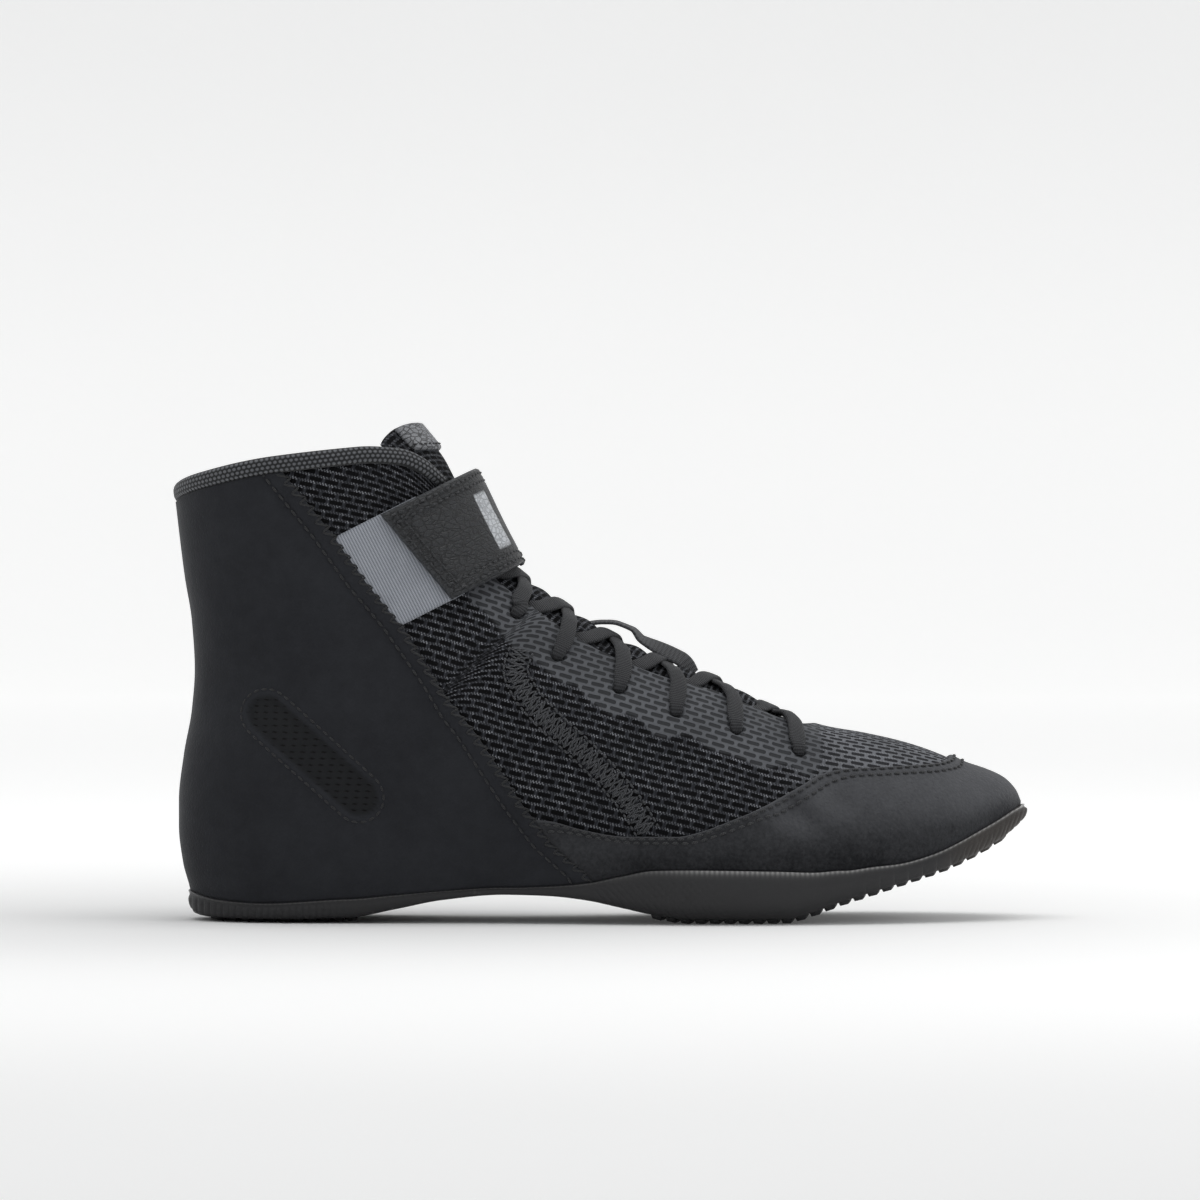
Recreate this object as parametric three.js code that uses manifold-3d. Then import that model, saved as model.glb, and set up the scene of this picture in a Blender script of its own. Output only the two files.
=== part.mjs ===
// Wrestling shoe for the right foot, empty and standing on its sole.
// Millimetres. +X runs from heel to toe, +Z is up, and the outer side of the foot faces -Y.
import * as THREE from 'three';
import { mergeVertices } from 'three/addons/utils/BufferGeometryUtils.js';
import Module from 'manifold-3d';

const wasm = await Module();
wasm.setup();

// Overall sizes.
const LENGTH = 292; // outsole, heel to toe
const HEIGHT = 149; // top of the collar above the floor, at the back seam
const BALL_WIDTH = 98; // outsole across the ball of the foot
const HEEL_WIDTH = 66; // outsole across the heel
const SHAFT_WIDTH = 76; // shaft across, below the collar

// Sole.
const RUBBER = 5; // rubber under the ball and heel
const ARCH_RISE = 9; // underside of the arch above the floor
const TOE_SPRING = 34; // underside of the toe above the floor
const RIM_HEIGHT = 18; // top edge of the sole beside the ball
const RIM_TOE = 39.6; // top edge of the sole at the toe
const SIDE_WALL = 1.9; // rubber beside the upper, at its top edge
const SIDE_BELLY = 0.7; // how far the side of the sole stands out below its top edge
const LUG_HEIGHT = 1.4;
const LUG_ROOT = 1.2; // how deep a bar's root lies in the rubber
const LUG_LENGTH = 4.2;
const LUG_PITCH = 9.5;
const LUG_INSET = 7; // from the side of the sole to the lugs' ends
const PAD_RADIUS = 15; // round turning pads under ball and heel

// Upper and what is sewn to it.
const WALL = 2.2; // knit, foam and lining
const CLEAR = 0.3; // between pieces that touch
const LEATHER = 1.3; // suede heel panel and toe guard
const TUCK = 2.6; // how far the upper draws in where it meets the sole
const TUCK_HEIGHT = 15;
const BACK_ROUND = 42; // front to back length of the heel's round end
const TOE_ROUND = 60; // front to back length of the toe's round end
const THROAT_END = 109; // station of the throat's front end
const BINDING_HEIGHT = 5.6;
const BINDING_WIDTH = 4.6;

// Tongue and insole.
const TONGUE_THICK = 3.2;
const TONGUE_WIDTH = 54; // across, at the collar
const TONGUE_FOOT = 34; // across, at its front end
const CAP_THICK = 1.2; // leather cap at the tongue's top
const INSOLE_THICK = 3;

// Eyelets and lace.
const EYELET_RADIUS = 2.4;
const LACE_WIDTH = 5.6;
const LACE_THICK = 1.5;
const KEEPER_WIDTH = 9;
const KEEPER_THICK = 1.2;

// Ankle strap.
const STRAP_WIDTH = 37;
const STRAP_THICK = 2.2;
const ELASTIC_THICK = 1.4;
const STRAP_RISE = 27; // slope of the strap in degrees, up towards the front

const DEG = Math.PI / 180;

// Back outline of the upper. up: share of HEIGHT, along: share of LENGTH.
const BACK_ROWS = [
  { up: 0.030, along: 0.0235 },
  { up: 0.085, along: 0.0168 },
  { up: 0.134, along: 0.0100 },
  { up: 0.215, along: 0.0052 },
  { up: 0.275, along: 0.0052 },
  { up: 0.379, along: 0.0110 },
  { up: 0.483, along: 0.0205 },
  { up: 0.577, along: 0.0240 },
  { up: 0.691, along: 0.0205 },
  { up: 0.795, along: 0.0120 },
  { up: 1.000, along: -0.0007 },
  { up: 1.200, along: -0.0120 },
];

// Top outline of the closed form, from above the collar down the instep to the toe.
const CREST_ROWS = [
  { along: 0.260, up: 1.208 },
  { along: 0.293, up: 1.148 },
  { along: 0.327, up: 1.057 },
  { along: 0.3545, up: 0.940 },
  { along: 0.375, up: 0.866 },
  { along: 0.3925, up: 0.815 },
  { along: 0.418, up: 0.773 },
  { along: 0.449, up: 0.731 },
  { along: 0.495, up: 0.672 },
  { along: 0.548, up: 0.619 },
  { along: 0.620, up: 0.563 },
  { along: 0.695, up: 0.494 },
  { along: 0.760, up: 0.447 },
  { along: 0.808, up: 0.430 },
  { along: 0.856, up: 0.408 },
  { along: 0.901, up: 0.377 },
  { along: 0.925, up: 0.353 },
  { along: 0.949, up: 0.337 },
  { along: 0.969, up: 0.319 },
  { along: 0.983, up: 0.292 },
  { along: 0.9887, up: 0.267 },
];

// Sole from heel to toe. at: share of LENGTH. Underside: arch share of ARCH_RISE plus
// spring share of TOE_SPRING. rubber: share of RUBBER. rim: height of the top edge over
// the underside, heel: share of RIM_HEIGHT, toe: share of RIM_TOE.
const SOLE_ROWS = [
  { at: 0.000, arch: 0.00, spring: 0.000, rubber: 0.92, heel: 0.60, toe: 0.000 },
  { at: 0.050, arch: 0.00, spring: 0.000, rubber: 0.90, heel: 0.41, toe: 0.000 },
  { at: 0.100, arch: 0.00, spring: 0.000, rubber: 0.90, heel: 0.36, toe: 0.000 },
  { at: 0.200, arch: 0.05, spring: 0.000, rubber: 0.92, heel: 0.42, toe: 0.000 },
  { at: 0.257, arch: 0.39, spring: 0.000, rubber: 0.64, heel: 0.33, toe: 0.000 },
  { at: 0.312, arch: 0.77, spring: 0.000, rubber: 0.50, heel: 0.22, toe: 0.000 },
  { at: 0.384, arch: 1.00, spring: 0.000, rubber: 0.44, heel: 0.17, toe: 0.000 },
  { at: 0.432, arch: 0.95, spring: 0.000, rubber: 0.46, heel: 0.22, toe: 0.000 },
  { at: 0.478, arch: 0.76, spring: 0.000, rubber: 0.62, heel: 0.38, toe: 0.000 },
  { at: 0.519, arch: 0.45, spring: 0.000, rubber: 0.94, heel: 0.67, toe: 0.000 },
  { at: 0.555, arch: 0.19, spring: 0.000, rubber: 1.18, heel: 0.91, toe: 0.000 },
  { at: 0.600, arch: 0.00, spring: 0.000, rubber: 1.32, heel: 1.02, toe: 0.000 },
  { at: 0.709, arch: 0.00, spring: 0.000, rubber: 1.24, heel: 0.99, toe: 0.000 },
  { at: 0.743, arch: 0.00, spring: 0.070, rubber: 1.16, heel: 0.84, toe: 0.000 },
  { at: 0.777, arch: 0.00, spring: 0.176, rubber: 1.02, heel: 0.67, toe: 0.000 },
  { at: 0.808, arch: 0.00, spring: 0.259, rubber: 0.90, heel: 0.46, toe: 0.050 },
  { at: 0.856, arch: 0.00, spring: 0.388, rubber: 0.78, heel: 0.16, toe: 0.120 },
  { at: 0.901, arch: 0.00, spring: 0.512, rubber: 0.72, heel: 0.00, toe: 0.196 },
  { at: 0.949, arch: 0.00, spring: 0.700, rubber: 0.66, heel: 0.00, toe: 0.212 },
  { at: 0.973, arch: 0.00, spring: 0.818, rubber: 0.62, heel: 0.00, toe: 0.206 },
  { at: 1.000, arch: 0.00, spring: 1.000, rubber: 0.56, heel: 0.00, toe: 0.141 },
];

// Middle line of the foot in plan: at, share of LENGTH; in, share of BALL_WIDTH to the inner side.
const MIDDLE_ROWS = [
  { at: 0.000, in: 0.000 },
  { at: 0.137, in: -0.005 },
  { at: 0.257, in: -0.020 },
  { at: 0.377, in: -0.062 },
  { at: 0.479, in: -0.074 },
  { at: 0.565, in: -0.058 },
  { at: 0.651, in: -0.030 },
  { at: 0.719, in: 0.004 },
  { at: 0.805, in: 0.040 },
  { at: 0.873, in: 0.066 },
  { at: 0.925, in: 0.084 },
  { at: 1.000, in: 0.104 },
];

// Sections of the upper's form. station: degrees below the level line through the pivot, and past
// 90 the share of the way on to the toe. crown, upper, lower, foot: half widths from the top of a
// section down to its end, as shares of the width in of. ridge: rounding of the top, share of HEIGHT.
const SECTION_ROWS = [
  { station: -8, of: SHAFT_WIDTH, crown: 0.50, upper: 0.50, lower: 0.50, foot: 0.49, ridge: 0.31 },
  { station: 8, of: SHAFT_WIDTH, crown: 0.50, upper: 0.50, lower: 0.50, foot: 0.49, ridge: 0.31 },
  { station: 17, of: SHAFT_WIDTH, crown: 0.46, upper: 0.48, lower: 0.47, foot: 0.46, ridge: 0.31 },
  { station: 26, of: SHAFT_WIDTH, crown: 0.44, upper: 0.46, lower: 0.44, foot: 0.42, ridge: 0.31 },
  { station: 33, of: HEEL_WIDTH, crown: 0.50, upper: 0.53, lower: 0.52, foot: 0.49, ridge: 0.30 },
  { station: 41, of: HEEL_WIDTH, crown: 0.49, upper: 0.52, lower: 0.525, foot: 0.49, ridge: 0.29 },
  { station: 50, of: HEEL_WIDTH, crown: 0.48, upper: 0.51, lower: 0.51, foot: 0.485, ridge: 0.29 },
  { station: 60, of: BALL_WIDTH, crown: 0.33, upper: 0.34, lower: 0.325, foot: 0.29, ridge: 0.30 },
  { station: 70, of: BALL_WIDTH, crown: 0.36, upper: 0.375, lower: 0.375, foot: 0.335, ridge: 0.33 },
  { station: 80, of: BALL_WIDTH, crown: 0.40, upper: 0.42, lower: 0.435, foot: 0.41, ridge: 0.36 },
  { station: 90, of: BALL_WIDTH, crown: 0.43, upper: 0.455, lower: 0.47, foot: 0.455, ridge: 0.385 },
  { station: 115, of: BALL_WIDTH, crown: 0.43, upper: 0.45, lower: 0.455, foot: 0.44, ridge: 0.34 },
  { station: 140, of: BALL_WIDTH, crown: 0.40, upper: 0.415, lower: 0.42, foot: 0.405, ridge: 0.26 },
  { station: 160, of: BALL_WIDTH, crown: 0.38, upper: 0.39, lower: 0.395, foot: 0.38, ridge: 0.18 },
  { station: 172, of: BALL_WIDTH, crown: 0.36, upper: 0.365, lower: 0.37, foot: 0.36, ridge: 0.10 },
  { station: 180, of: BALL_WIDTH, crown: 0.34, upper: 0.34, lower: 0.345, foot: 0.34, ridge: 0.04 },
];

// Half opening of the throat along the instep, share of BALL_WIDTH.
const THROAT_ROWS = [
  { station: 0, half: 0.225 },
  { station: 14, half: 0.215 },
  { station: 30, half: 0.195 },
  { station: 60, half: 0.180 },
  { station: 85, half: 0.155 },
  { station: 110, half: 0.120 },
];

// Top edge of the knit under its binding: down, share of the way from the throat to the back
// seam; station there.
const COLLAR_ROWS = [
  { down: 0.00, station: 14.5 },
  { down: 0.05, station: 11.4 },
  { down: 0.12, station: 9.0 },
  { down: 0.25, station: 7.9 },
  { down: 0.50, station: 7.7 },
  { down: 0.75, station: 8.2 },
  { down: 1.00, station: 9.0 },
];

// Smooth curve through rows, level at its own peaks.
function through(rows, key, value) {
  const x = rows.map((row) => row[key]);
  const y = rows.map((row) => row[value]);
  const n = x.length;
  const slope = [];
  for (let i = 0; i < n - 1; i++) slope.push((y[i + 1] - y[i]) / (x[i + 1] - x[i]));
  const lean = [slope[0]];
  for (let i = 1; i < n - 1; i++) {
    const steady = slope[i - 1] * slope[i] > 0;
    lean.push(steady ? 2 * slope[i - 1] * slope[i] / (slope[i - 1] + slope[i]) : 0);
  }
  lean.push(slope[n - 2]);
  return (at) => {
    if (at <= x[0]) return y[0] + lean[0] * (at - x[0]);
    if (at >= x[n - 1]) return y[n - 1] + lean[n - 1] * (at - x[n - 1]);
    let i = 0;
    while (at > x[i + 1]) i++;
    const h = x[i + 1] - x[i];
    const u = (at - x[i]) / h;
    const v = 1 - u;
    return y[i] * v * v * (1 + 2 * u) + y[i + 1] * u * u * (3 - 2 * u)
      + h * u * v * (lean[i] * v - lean[i + 1] * u);
  };
}

// Quarter round from 0 at the edge to 1 at full width.
function round(share, power = 2) {
  if (share <= 0) return 0;
  if (share >= 1) return 1;
  return (1 - (1 - share) ** power) ** (1 / power);
}

// Sole heights at a distance x from the back of the heel.
const soleCurve = (value) => through(SOLE_ROWS, 'at', value);
const archShare = soleCurve('arch');
const springShare = soleCurve('spring');
const rubberShare = soleCurve('rubber');
const heelRimShare = soleCurve('heel');
const toeRimShare = soleCurve('toe');
const underside = (x) => ARCH_RISE * archShare(x / LENGTH) + TOE_SPRING * springShare(x / LENGTH);
const bed = (x) => underside(x) + RUBBER * rubberShare(x / LENGTH);
const rim = (x) => underside(x) + RIM_HEIGHT * heelRimShare(x / LENGTH) + RIM_TOE * toeRimShare(x / LENGTH);

const middleShare = through(MIDDLE_ROWS, 'at', 'in');
const backShare = through(BACK_ROWS, 'up', 'along');
const back = (z) => LENGTH * backShare(z / HEIGHT);

// The form's sections lie in planes that turn about a level line ahead of the instep, from level
// at the collar to upright at the ball, and then stay upright on to the toe.
const PIVOT = { x: 0.685 * LENGTH, z: 1.175 * HEIGHT };
const TIP = LENGTH * CREST_ROWS[CREST_ROWS.length - 1].along;

function ray(station) {
  if (station <= 90) {
    return { x: PIVOT.x, z: PIVOT.z, dx: -Math.cos(station * DEG), dz: -Math.sin(station * DEG) };
  }
  return { x: PIVOT.x + (station - 90) / 90 * (TIP - PIVOT.x), z: PIVOT.z, dx: 0, dz: -1 };
}

function stationOf(x, z) {
  if (x <= PIVOT.x) return Math.atan2(PIVOT.z - z, PIVOT.x - x) / DEG;
  return 90 + 90 * (x - PIVOT.x) / (TIP - PIVOT.x);
}

function reachOf(x, z) {
  return x <= PIVOT.x ? Math.hypot(PIVOT.x - x, PIVOT.z - z) : PIVOT.z - z;
}

const crestReach = through(CREST_ROWS.map((row) => {
  const x = row.along * LENGTH;
  const z = row.up * HEIGHT;
  return { station: stationOf(x, z), reach: reachOf(x, z) };
}), 'station', 'reach');

const footCache = new Map();
function footReach(station) {
  if (footCache.has(station)) return footCache.get(station);
  const line = ray(station);
  let near = crestReach(station);
  let far = near + LENGTH;
  for (let i = 0; i < 40; i++) {
    const reach = (near + far) / 2;
    const x = line.x + line.dx * reach;
    const z = line.z + line.dz * reach;
    const inside = x > back(z) && z > bed(x) + CLEAR;
    if (inside) near = reach;
    else far = reach;
  }
  footCache.set(station, near);
  return near;
}

const sectionCurve = (value) => through(
  SECTION_ROWS.map((row) => ({ station: row.station, size: row[value] * row.of })), 'station', 'size');
const crown = sectionCurve('crown');
const upperHalf = sectionCurve('upper');
const lowerHalf = sectionCurve('lower');
const footHalf = sectionCurve('foot');
const ridgeShare = through(SECTION_ROWS, 'station', 'ridge');
const throatShare = through(THROAT_ROWS, 'station', 'half');

// Depth of the sections without the corner under the heel, so that widths pass it smoothly.
const depthReach = through(
  SECTION_ROWS.map((row) => ({ station: row.station, reach: footReach(row.station) })),
  'station', 'reach');

// Plan middle of the form: it follows the foot below and stands straight in the shaft.
function middle(x, z) {
  const rise = THREE.MathUtils.smoothstep(z, 0.4 * HEIGHT, 0.85 * HEIGHT);
  return BALL_WIDTH * middleShare(x / LENGTH) * (1 - rise);
}

// Half width of the form at a point of its side view. lift moves the crest outwards.
function halfWidth(x, z, lift = 0) {
  const station = stationOf(x, z);
  const crest = crestReach(station) - lift;
  const foot = depthReach(station);
  const down = THREE.MathUtils.clamp((reachOf(x, z) - crest) / (foot - crest), 0, 1);
  const widths = [crown(station), upperHalf(station), lowerHalf(station), footHalf(station)];
  const place = down * 3;
  const i = Math.min(Math.floor(place), 2);
  const u = place - i;
  const before = widths[Math.max(i - 1, 0)];
  const after = widths[Math.min(i + 2, 3)];
  const bend = u * (1 - u) / 2;
  const flat = widths[i] * (1 - u) + widths[i + 1] * u;
  const full = flat + bend * ((1 - u) * (widths[i] - before) - u * (after - widths[i + 1]));
  const ridge = ridgeShare(station) * HEIGHT;
  const top = round((reachOf(x, z) - crest) / ridge, 2.1);
  const heel = round((x - back(z)) / BACK_ROUND, 2.15);
  const toe = round((TIP - x) / TOE_ROUND, 2.15);
  const low = Math.max(0, 1 - (z - bed(x)) / TUCK_HEIGHT);
  return (full - TUCK * low * low) * top * heel * toe;
}

// One section of the form on one side, sampled finely: side -1 is the outer side.
const STEPS = 120;
const lineCache = new Map();
function sectionLine(station, side, opening) {
  const key = `${station}/${side}/${opening}`;
  if (lineCache.has(key)) return lineCache.get(key);
  const line = ray(station);
  const crest = crestReach(station);
  const foot = footReach(station);
  let start = 0;
  if (opening > 0) {
    let outside = 1;
    for (let i = 0; i < 30; i++) {
      const half = (start + outside) / 2;
      const reach = crest + (foot - crest) * half * 0.5;
      const open = halfWidth(line.x + line.dx * reach, line.z + line.dz * reach) < opening;
      if (open) start = half;
      else outside = half;
    }
    start *= 0.5;
  }
  const points = [];
  const lengths = [0];
  for (let k = 0; k <= STEPS; k++) {
    const share = (1 - Math.cos(Math.PI * k / STEPS)) / 2;
    const first = Math.acos(1 - 2 * start) / Math.PI;
    const turn = first + (1 - first) * k / STEPS;
    const down = opening > 0 ? (1 - Math.cos(Math.PI * turn)) / 2 : share;
    const reach = crest + (foot - crest) * down;
    const x = line.x + line.dx * reach;
    const z = line.z + line.dz * reach;
    points.push(new THREE.Vector3(x, middle(x, z) + side * halfWidth(x, z), z));
    if (k > 0) lengths.push(lengths[k - 1] + points[k].distanceTo(points[k - 1]));
  }
  const result = { points, lengths };
  lineCache.set(key, result);
  return result;
}

function throatHalf(station) {
  if (station >= THROAT_END) return 0;
  return BALL_WIDTH * throatShare(station) * round((THROAT_END - station) / 7);
}

// Point of a section at a share of its length from the throat edge to its end. Where both sides
// meet, it lies on the middle plane itself.
function sectionPoint(station, side, share) {
  const { points, lengths } = sectionLine(station, side, throatHalf(station));
  const length = lengths[STEPS] * share;
  let k = 0;
  while (k < STEPS - 1 && lengths[k + 1] < length) k++;
  const span = lengths[k + 1] - lengths[k];
  const u = span > 0 ? (length - lengths[k]) / span : 0;
  const point = points[k].clone().lerp(points[k + 1], Math.min(u, 1));
  const seam = middle(point.x, point.z);
  return Math.abs(point.y - seam) < 0.05 * CLEAR ? point.setY(seam) : point;
}

// Surfaces are sheets of triangles: a list of points and a list of corners.
function gridSheet(rows, columns, place, flip = false) {
  const points = [];
  const corners = [];
  for (let i = 0; i < rows; i++) for (let j = 0; j < columns; j++) points.push(place(i, j));
  for (let i = 0; i < rows - 1; i++) {
    for (let j = 0; j < columns - 1; j++) {
      const a = i * columns + j;
      const quad = [a, a + 1, a + columns + 1, a + columns];
      if (flip) quad.reverse();
      corners.push([quad[0], quad[1], quad[2]], [quad[0], quad[2], quad[3]]);
    }
  }
  return { points, corners };
}

function joinSheets(...sheets) {
  const points = [];
  const corners = [];
  const seen = new Map();
  for (const sheet of sheets) {
    const index = sheet.points.map((p) => {
      const key = [p.x, p.y, p.z].map((v) => Math.round(v * 500)).join(',');
      if (!seen.has(key)) {
        seen.set(key, points.length);
        points.push(p.clone());
      }
      return seen.get(key);
    });
    for (const [a, b, c] of sheet.corners) {
      const [i, j, k] = [index[a], index[b], index[c]];
      if (i !== j && j !== k && k !== i) corners.push([i, j, k]);
    }
  }
  return { points, corners };
}

function sheetNormals({ points, corners }) {
  const normals = points.map(() => new THREE.Vector3());
  const u = new THREE.Vector3();
  const v = new THREE.Vector3();
  for (const [a, b, c] of corners) {
    u.subVectors(points[b], points[a]);
    v.subVectors(points[c], points[a]);
    u.cross(v);
    for (const i of [a, b, c]) normals[i].add(u);
  }
  return normals.map((n) => n.normalize());
}

function solidGeometry(points, corners) {
  const geometry = new THREE.BufferGeometry();
  const values = new Float32Array(points.length * 3);
  points.forEach((p, i) => p.toArray(values, 3 * i));
  geometry.setAttribute('position', new THREE.BufferAttribute(values, 3));
  geometry.setIndex(corners.flat());
  return geometry;
}

// Closed solid between two offsets of a sheet along its normals.
function thicken(sheet, low, high) {
  const normals = sheetNormals(sheet);
  const n = sheet.points.length;
  const at = (offset) => sheet.points.map((p, i) => p.clone().addScaledVector(normals[i], offset));
  const points = [...at(high), ...at(low)];
  const corners = [];
  const edges = new Map();
  for (const [a, b, c] of sheet.corners) {
    corners.push([a, b, c], [a + n, c + n, b + n]);
    for (const [i, j] of [[a, b], [b, c], [c, a]]) edges.set(`${i}/${j}`, [i, j]);
  }
  for (const [i, j] of edges.values()) {
    if (!edges.has(`${j}/${i}`)) corners.push([j, i, i + n], [j, i + n, j + n]);
  }
  return solidGeometry(points, corners);
}

// Loop of points closed in the other direction: rings of equal length, one outside the next.
function ringSolid(rings, closeFirst, closeLast) {
  const count = rings[0].length;
  const points = rings.flat();
  const corners = [];
  for (let r = 0; r < rings.length - 1; r++) {
    for (let i = 0; i < count; i++) {
      const a = r * count + i;
      const b = r * count + (i + 1) % count;
      corners.push([a, b, b + count], [a, b + count, a + count]);
    }
  }
  const cap = (first, turned) => {
    for (let i = 0; i < count / 2; i++) {
      const p = first + i;
      const q = first + i + 1;
      const r = first + (count - i - 1) % count;
      const s = first + (count - i) % count;
      const quad = i === 0 ? [[p, q, r]] : [[p, q, r], [p, r, s]];
      for (const [a, b, c] of quad) {
        if (a !== b && b !== c && c !== a) corners.push(turned ? [a, c, b] : [a, b, c]);
      }
    }
  };
  if (closeFirst) cap(0, true);
  if (closeLast) cap((rings.length - 1) * count, false);
  return solidGeometry(points, corners);
}

// Joining and cutting.
function toManifold(geometry) {
  let clean = geometry.clone();
  clean.deleteAttribute('normal');
  clean.deleteAttribute('uv');
  clean = mergeVertices(clean, 1e-4);
  return new wasm.Manifold(new wasm.Mesh({
    numProp: 3,
    vertProperties: new Float32Array(clean.attributes.position.array),
    triVerts: new Uint32Array(clean.index.array),
  }));
}

function toGeometry(solid) {
  const mesh = solid.getMesh();
  const geometry = new THREE.BufferGeometry();
  geometry.setAttribute('position', new THREE.BufferAttribute(new Float32Array(mesh.vertProperties), 3));
  geometry.setIndex(new THREE.BufferAttribute(new Uint32Array(mesh.triVerts), 1));
  return geometry;
}

// A cut can leave slivers beside the piece itself, which is the largest body.
function largest(solid) {
  const size = (body) => body.volume();
  return solid.decompose().sort((a, b) => size(b) - size(a))[0];
}

// Prism through the whole width from an outline of the side view.
function sidePrism(outline, near = -BALL_WIDTH, far = BALL_WIDTH) {
  const shape = new THREE.Shape(outline.map(([x, z]) => new THREE.Vector2(x, z)));
  const geometry = new THREE.ExtrudeGeometry(shape, { depth: far - near, bevelEnabled: false });
  geometry.rotateX(Math.PI / 2);
  geometry.translate(0, far, 0);
  return toManifold(geometry);
}

// Stations of the upper's rows.
const HEEL_CORNER = (() => {
  let low = 30;
  let high = 55;
  for (let i = 0; i < 40; i++) {
    const station = (low + high) / 2;
    const line = ray(station);
    const reach = footReach(station) + 0.01;
    if (line.x + line.dx * reach <= back(line.z + line.dz * reach)) low = station;
    else high = station;
  }
  return low;
})();
const SHAFT_ROWS = 7;
const SHAFT_FOOT = 30;
const footRows = [];
for (const share of [0, 0.008, 0.03, 0.07, 0.125, 0.2, 0.3, 0.42, 0.55, 0.68, 0.8, 0.91, 1]) {
  footRows.push(HEEL_CORNER + (THROAT_END - 11 - HEEL_CORNER) * share);
}
footRows.push(THROAT_END - 5, THROAT_END - 1, THROAT_END);
for (const share of [0.12, 0.26, 0.41, 0.56, 0.69, 0.80, 0.89, 0.955, 1]) {
  footRows.push(THROAT_END + (180 - THROAT_END) * share);
}
const heelRows = [0, 0.36, 0.7].map((share) => SHAFT_FOOT + (HEEL_CORNER - SHAFT_FOOT) * share);

const collarStation = through(COLLAR_ROWS, 'down', 'station');
const COLUMNS = 10;
const upperStations = (row, share) => {
  if (row < SHAFT_ROWS) {
    const way = row / SHAFT_ROWS;
    return collarStation(share) * (1 - way) + SHAFT_FOOT * way;
  }
  const rest = row - SHAFT_ROWS;
  return rest < heelRows.length ? heelRows[rest] : footRows[rest - heelRows.length];
};
const UPPER_ROWS = SHAFT_ROWS + heelRows.length + footRows.length;

function upperSide(side) {
  const place = (row, column) => {
    const share = column / (COLUMNS - 1);
    return sectionPoint(upperStations(row, share), side, share);
  };
  return gridSheet(UPPER_ROWS, COLUMNS, place, side > 0);
}

const upperSheet = joinSheets(upperSide(-1), upperSide(1));

// Closed plan loop of the form along a height line, moved outwards by grow. It starts at the
// heel, runs along the outer side to the toe and back along the inner side.
const LOOP = footRows.map((station) => {
  const line = ray(station);
  return line.x + line.dx * footReach(station);
});
function formLoop(heightAt, grow) {
  const first = LOOP[0];
  const share = LOOP.map((x) => (x - first) / (TIP - first));
  let start = first;
  for (let i = 0; i < 12; i++) start = back(heightAt(start));
  const sideLine = (side) => share.map((part) => {
    const x = start + (TIP - start) * part;
    const z = heightAt(x);
    return new THREE.Vector3(x, middle(x, z) + side * halfWidth(x, z), z);
  });
  const outer = sideLine(-1);
  const inner = sideLine(1).reverse().slice(1, -1);
  const loop = [...outer, ...inner];
  const grown = loop.map((p, i) => {
    const before = loop[(i + loop.length - 1) % loop.length];
    const after = loop[(i + 1) % loop.length];
    const normal = new THREE.Vector2(after.y - before.y, before.x - after.x).normalize();
    return new THREE.Vector3(p.x + normal.x * grow, p.y + normal.y * grow, p.z);
  });
  return grown.map((p) => p.setZ(heightAt(p.x)));
}

// Outsole: a low cup. Its inner wall follows the upper and its bed lies under the insole.
const soleSide = (share) => (x) => underside(x) + share * (rim(x) - underside(x));
const edge = 2 * CLEAR;
const soleRings = [
  formLoop(bed, edge),
  formLoop((x) => (bed(x) + rim(x)) / 2, edge),
  formLoop(rim, edge),
  formLoop(rim, edge + SIDE_WALL),
  formLoop(soleSide(0.62), edge + SIDE_WALL + SIDE_BELLY),
  formLoop(soleSide(0.30), edge + SIDE_WALL),
  formLoop((x) => soleSide(0.10)(x) + LUG_HEIGHT * 0.4, edge - 1.2),
  formLoop((x) => underside(x) + LUG_HEIGHT, edge - 6),
];
let sole = toManifold(ringSolid(soleRings.reverse(), true, true));

// Cross bars under the sole follow its underside and end short of its sides. Where ball and
// heel touch the floor, round turning pads stand as low as the bars.
function lugBar(x) {
  const half = LUG_LENGTH / 2;
  const shape = new THREE.Shape([
    new THREE.Vector2(x - half, underside(x - half)),
    new THREE.Vector2(x + half, underside(x + half)),
    new THREE.Vector2(x + half * 1.2, underside(x + half * 1.2) + LUG_HEIGHT + LUG_ROOT),
    new THREE.Vector2(x - half * 1.2, underside(x - half * 1.2) + LUG_HEIGHT + LUG_ROOT),
  ]);
  const bar = new THREE.ExtrudeGeometry(shape, { depth: BALL_WIDTH, bevelEnabled: false });
  bar.rotateX(Math.PI / 2);
  bar.translate(0, BALL_WIDTH / 2, 0);
  return toManifold(bar);
}

function planPrism(loop, low, high) {
  const shape = new THREE.Shape(loop.map((p) => new THREE.Vector2(p.x, p.y)));
  const prism = new THREE.ExtrudeGeometry(shape, { depth: high - low, bevelEnabled: false });
  prism.translate(0, 0, low);
  return toManifold(prism);
}

const treadField = planPrism(formLoop((x) => underside(x) + LUG_HEIGHT, edge - LUG_INSET), -1, TOE_SPRING * 1.4);
const HEEL_PAD = 0.125 * LENGTH;
const BALL_PAD = 0.655 * LENGTH;
let tread = null;
for (const [from, to] of [[0.045 * LENGTH, 0.20 * LENGTH], [0.57 * LENGTH, 0.965 * LENGTH]]) {
  const count = Math.max(2, Math.round((to - from) / LUG_PITCH));
  for (let i = 0; i <= count; i++) {
    const bar = lugBar(from + (to - from) * i / count);
    tread = tread ? tread.add(bar) : bar;
  }
}
tread = tread.intersect(treadField);
for (const x of [HEEL_PAD, BALL_PAD]) {
  const pad = new THREE.CylinderGeometry(PAD_RADIUS, PAD_RADIUS, LUG_HEIGHT + LUG_ROOT, 28);
  pad.rotateX(Math.PI / 2);
  pad.translate(x, middle(x, 0), underside(x) + (LUG_HEIGHT + LUG_ROOT) / 2);
  tread = tread.add(toManifold(pad));
}
sole = sole.add(tread);

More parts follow.
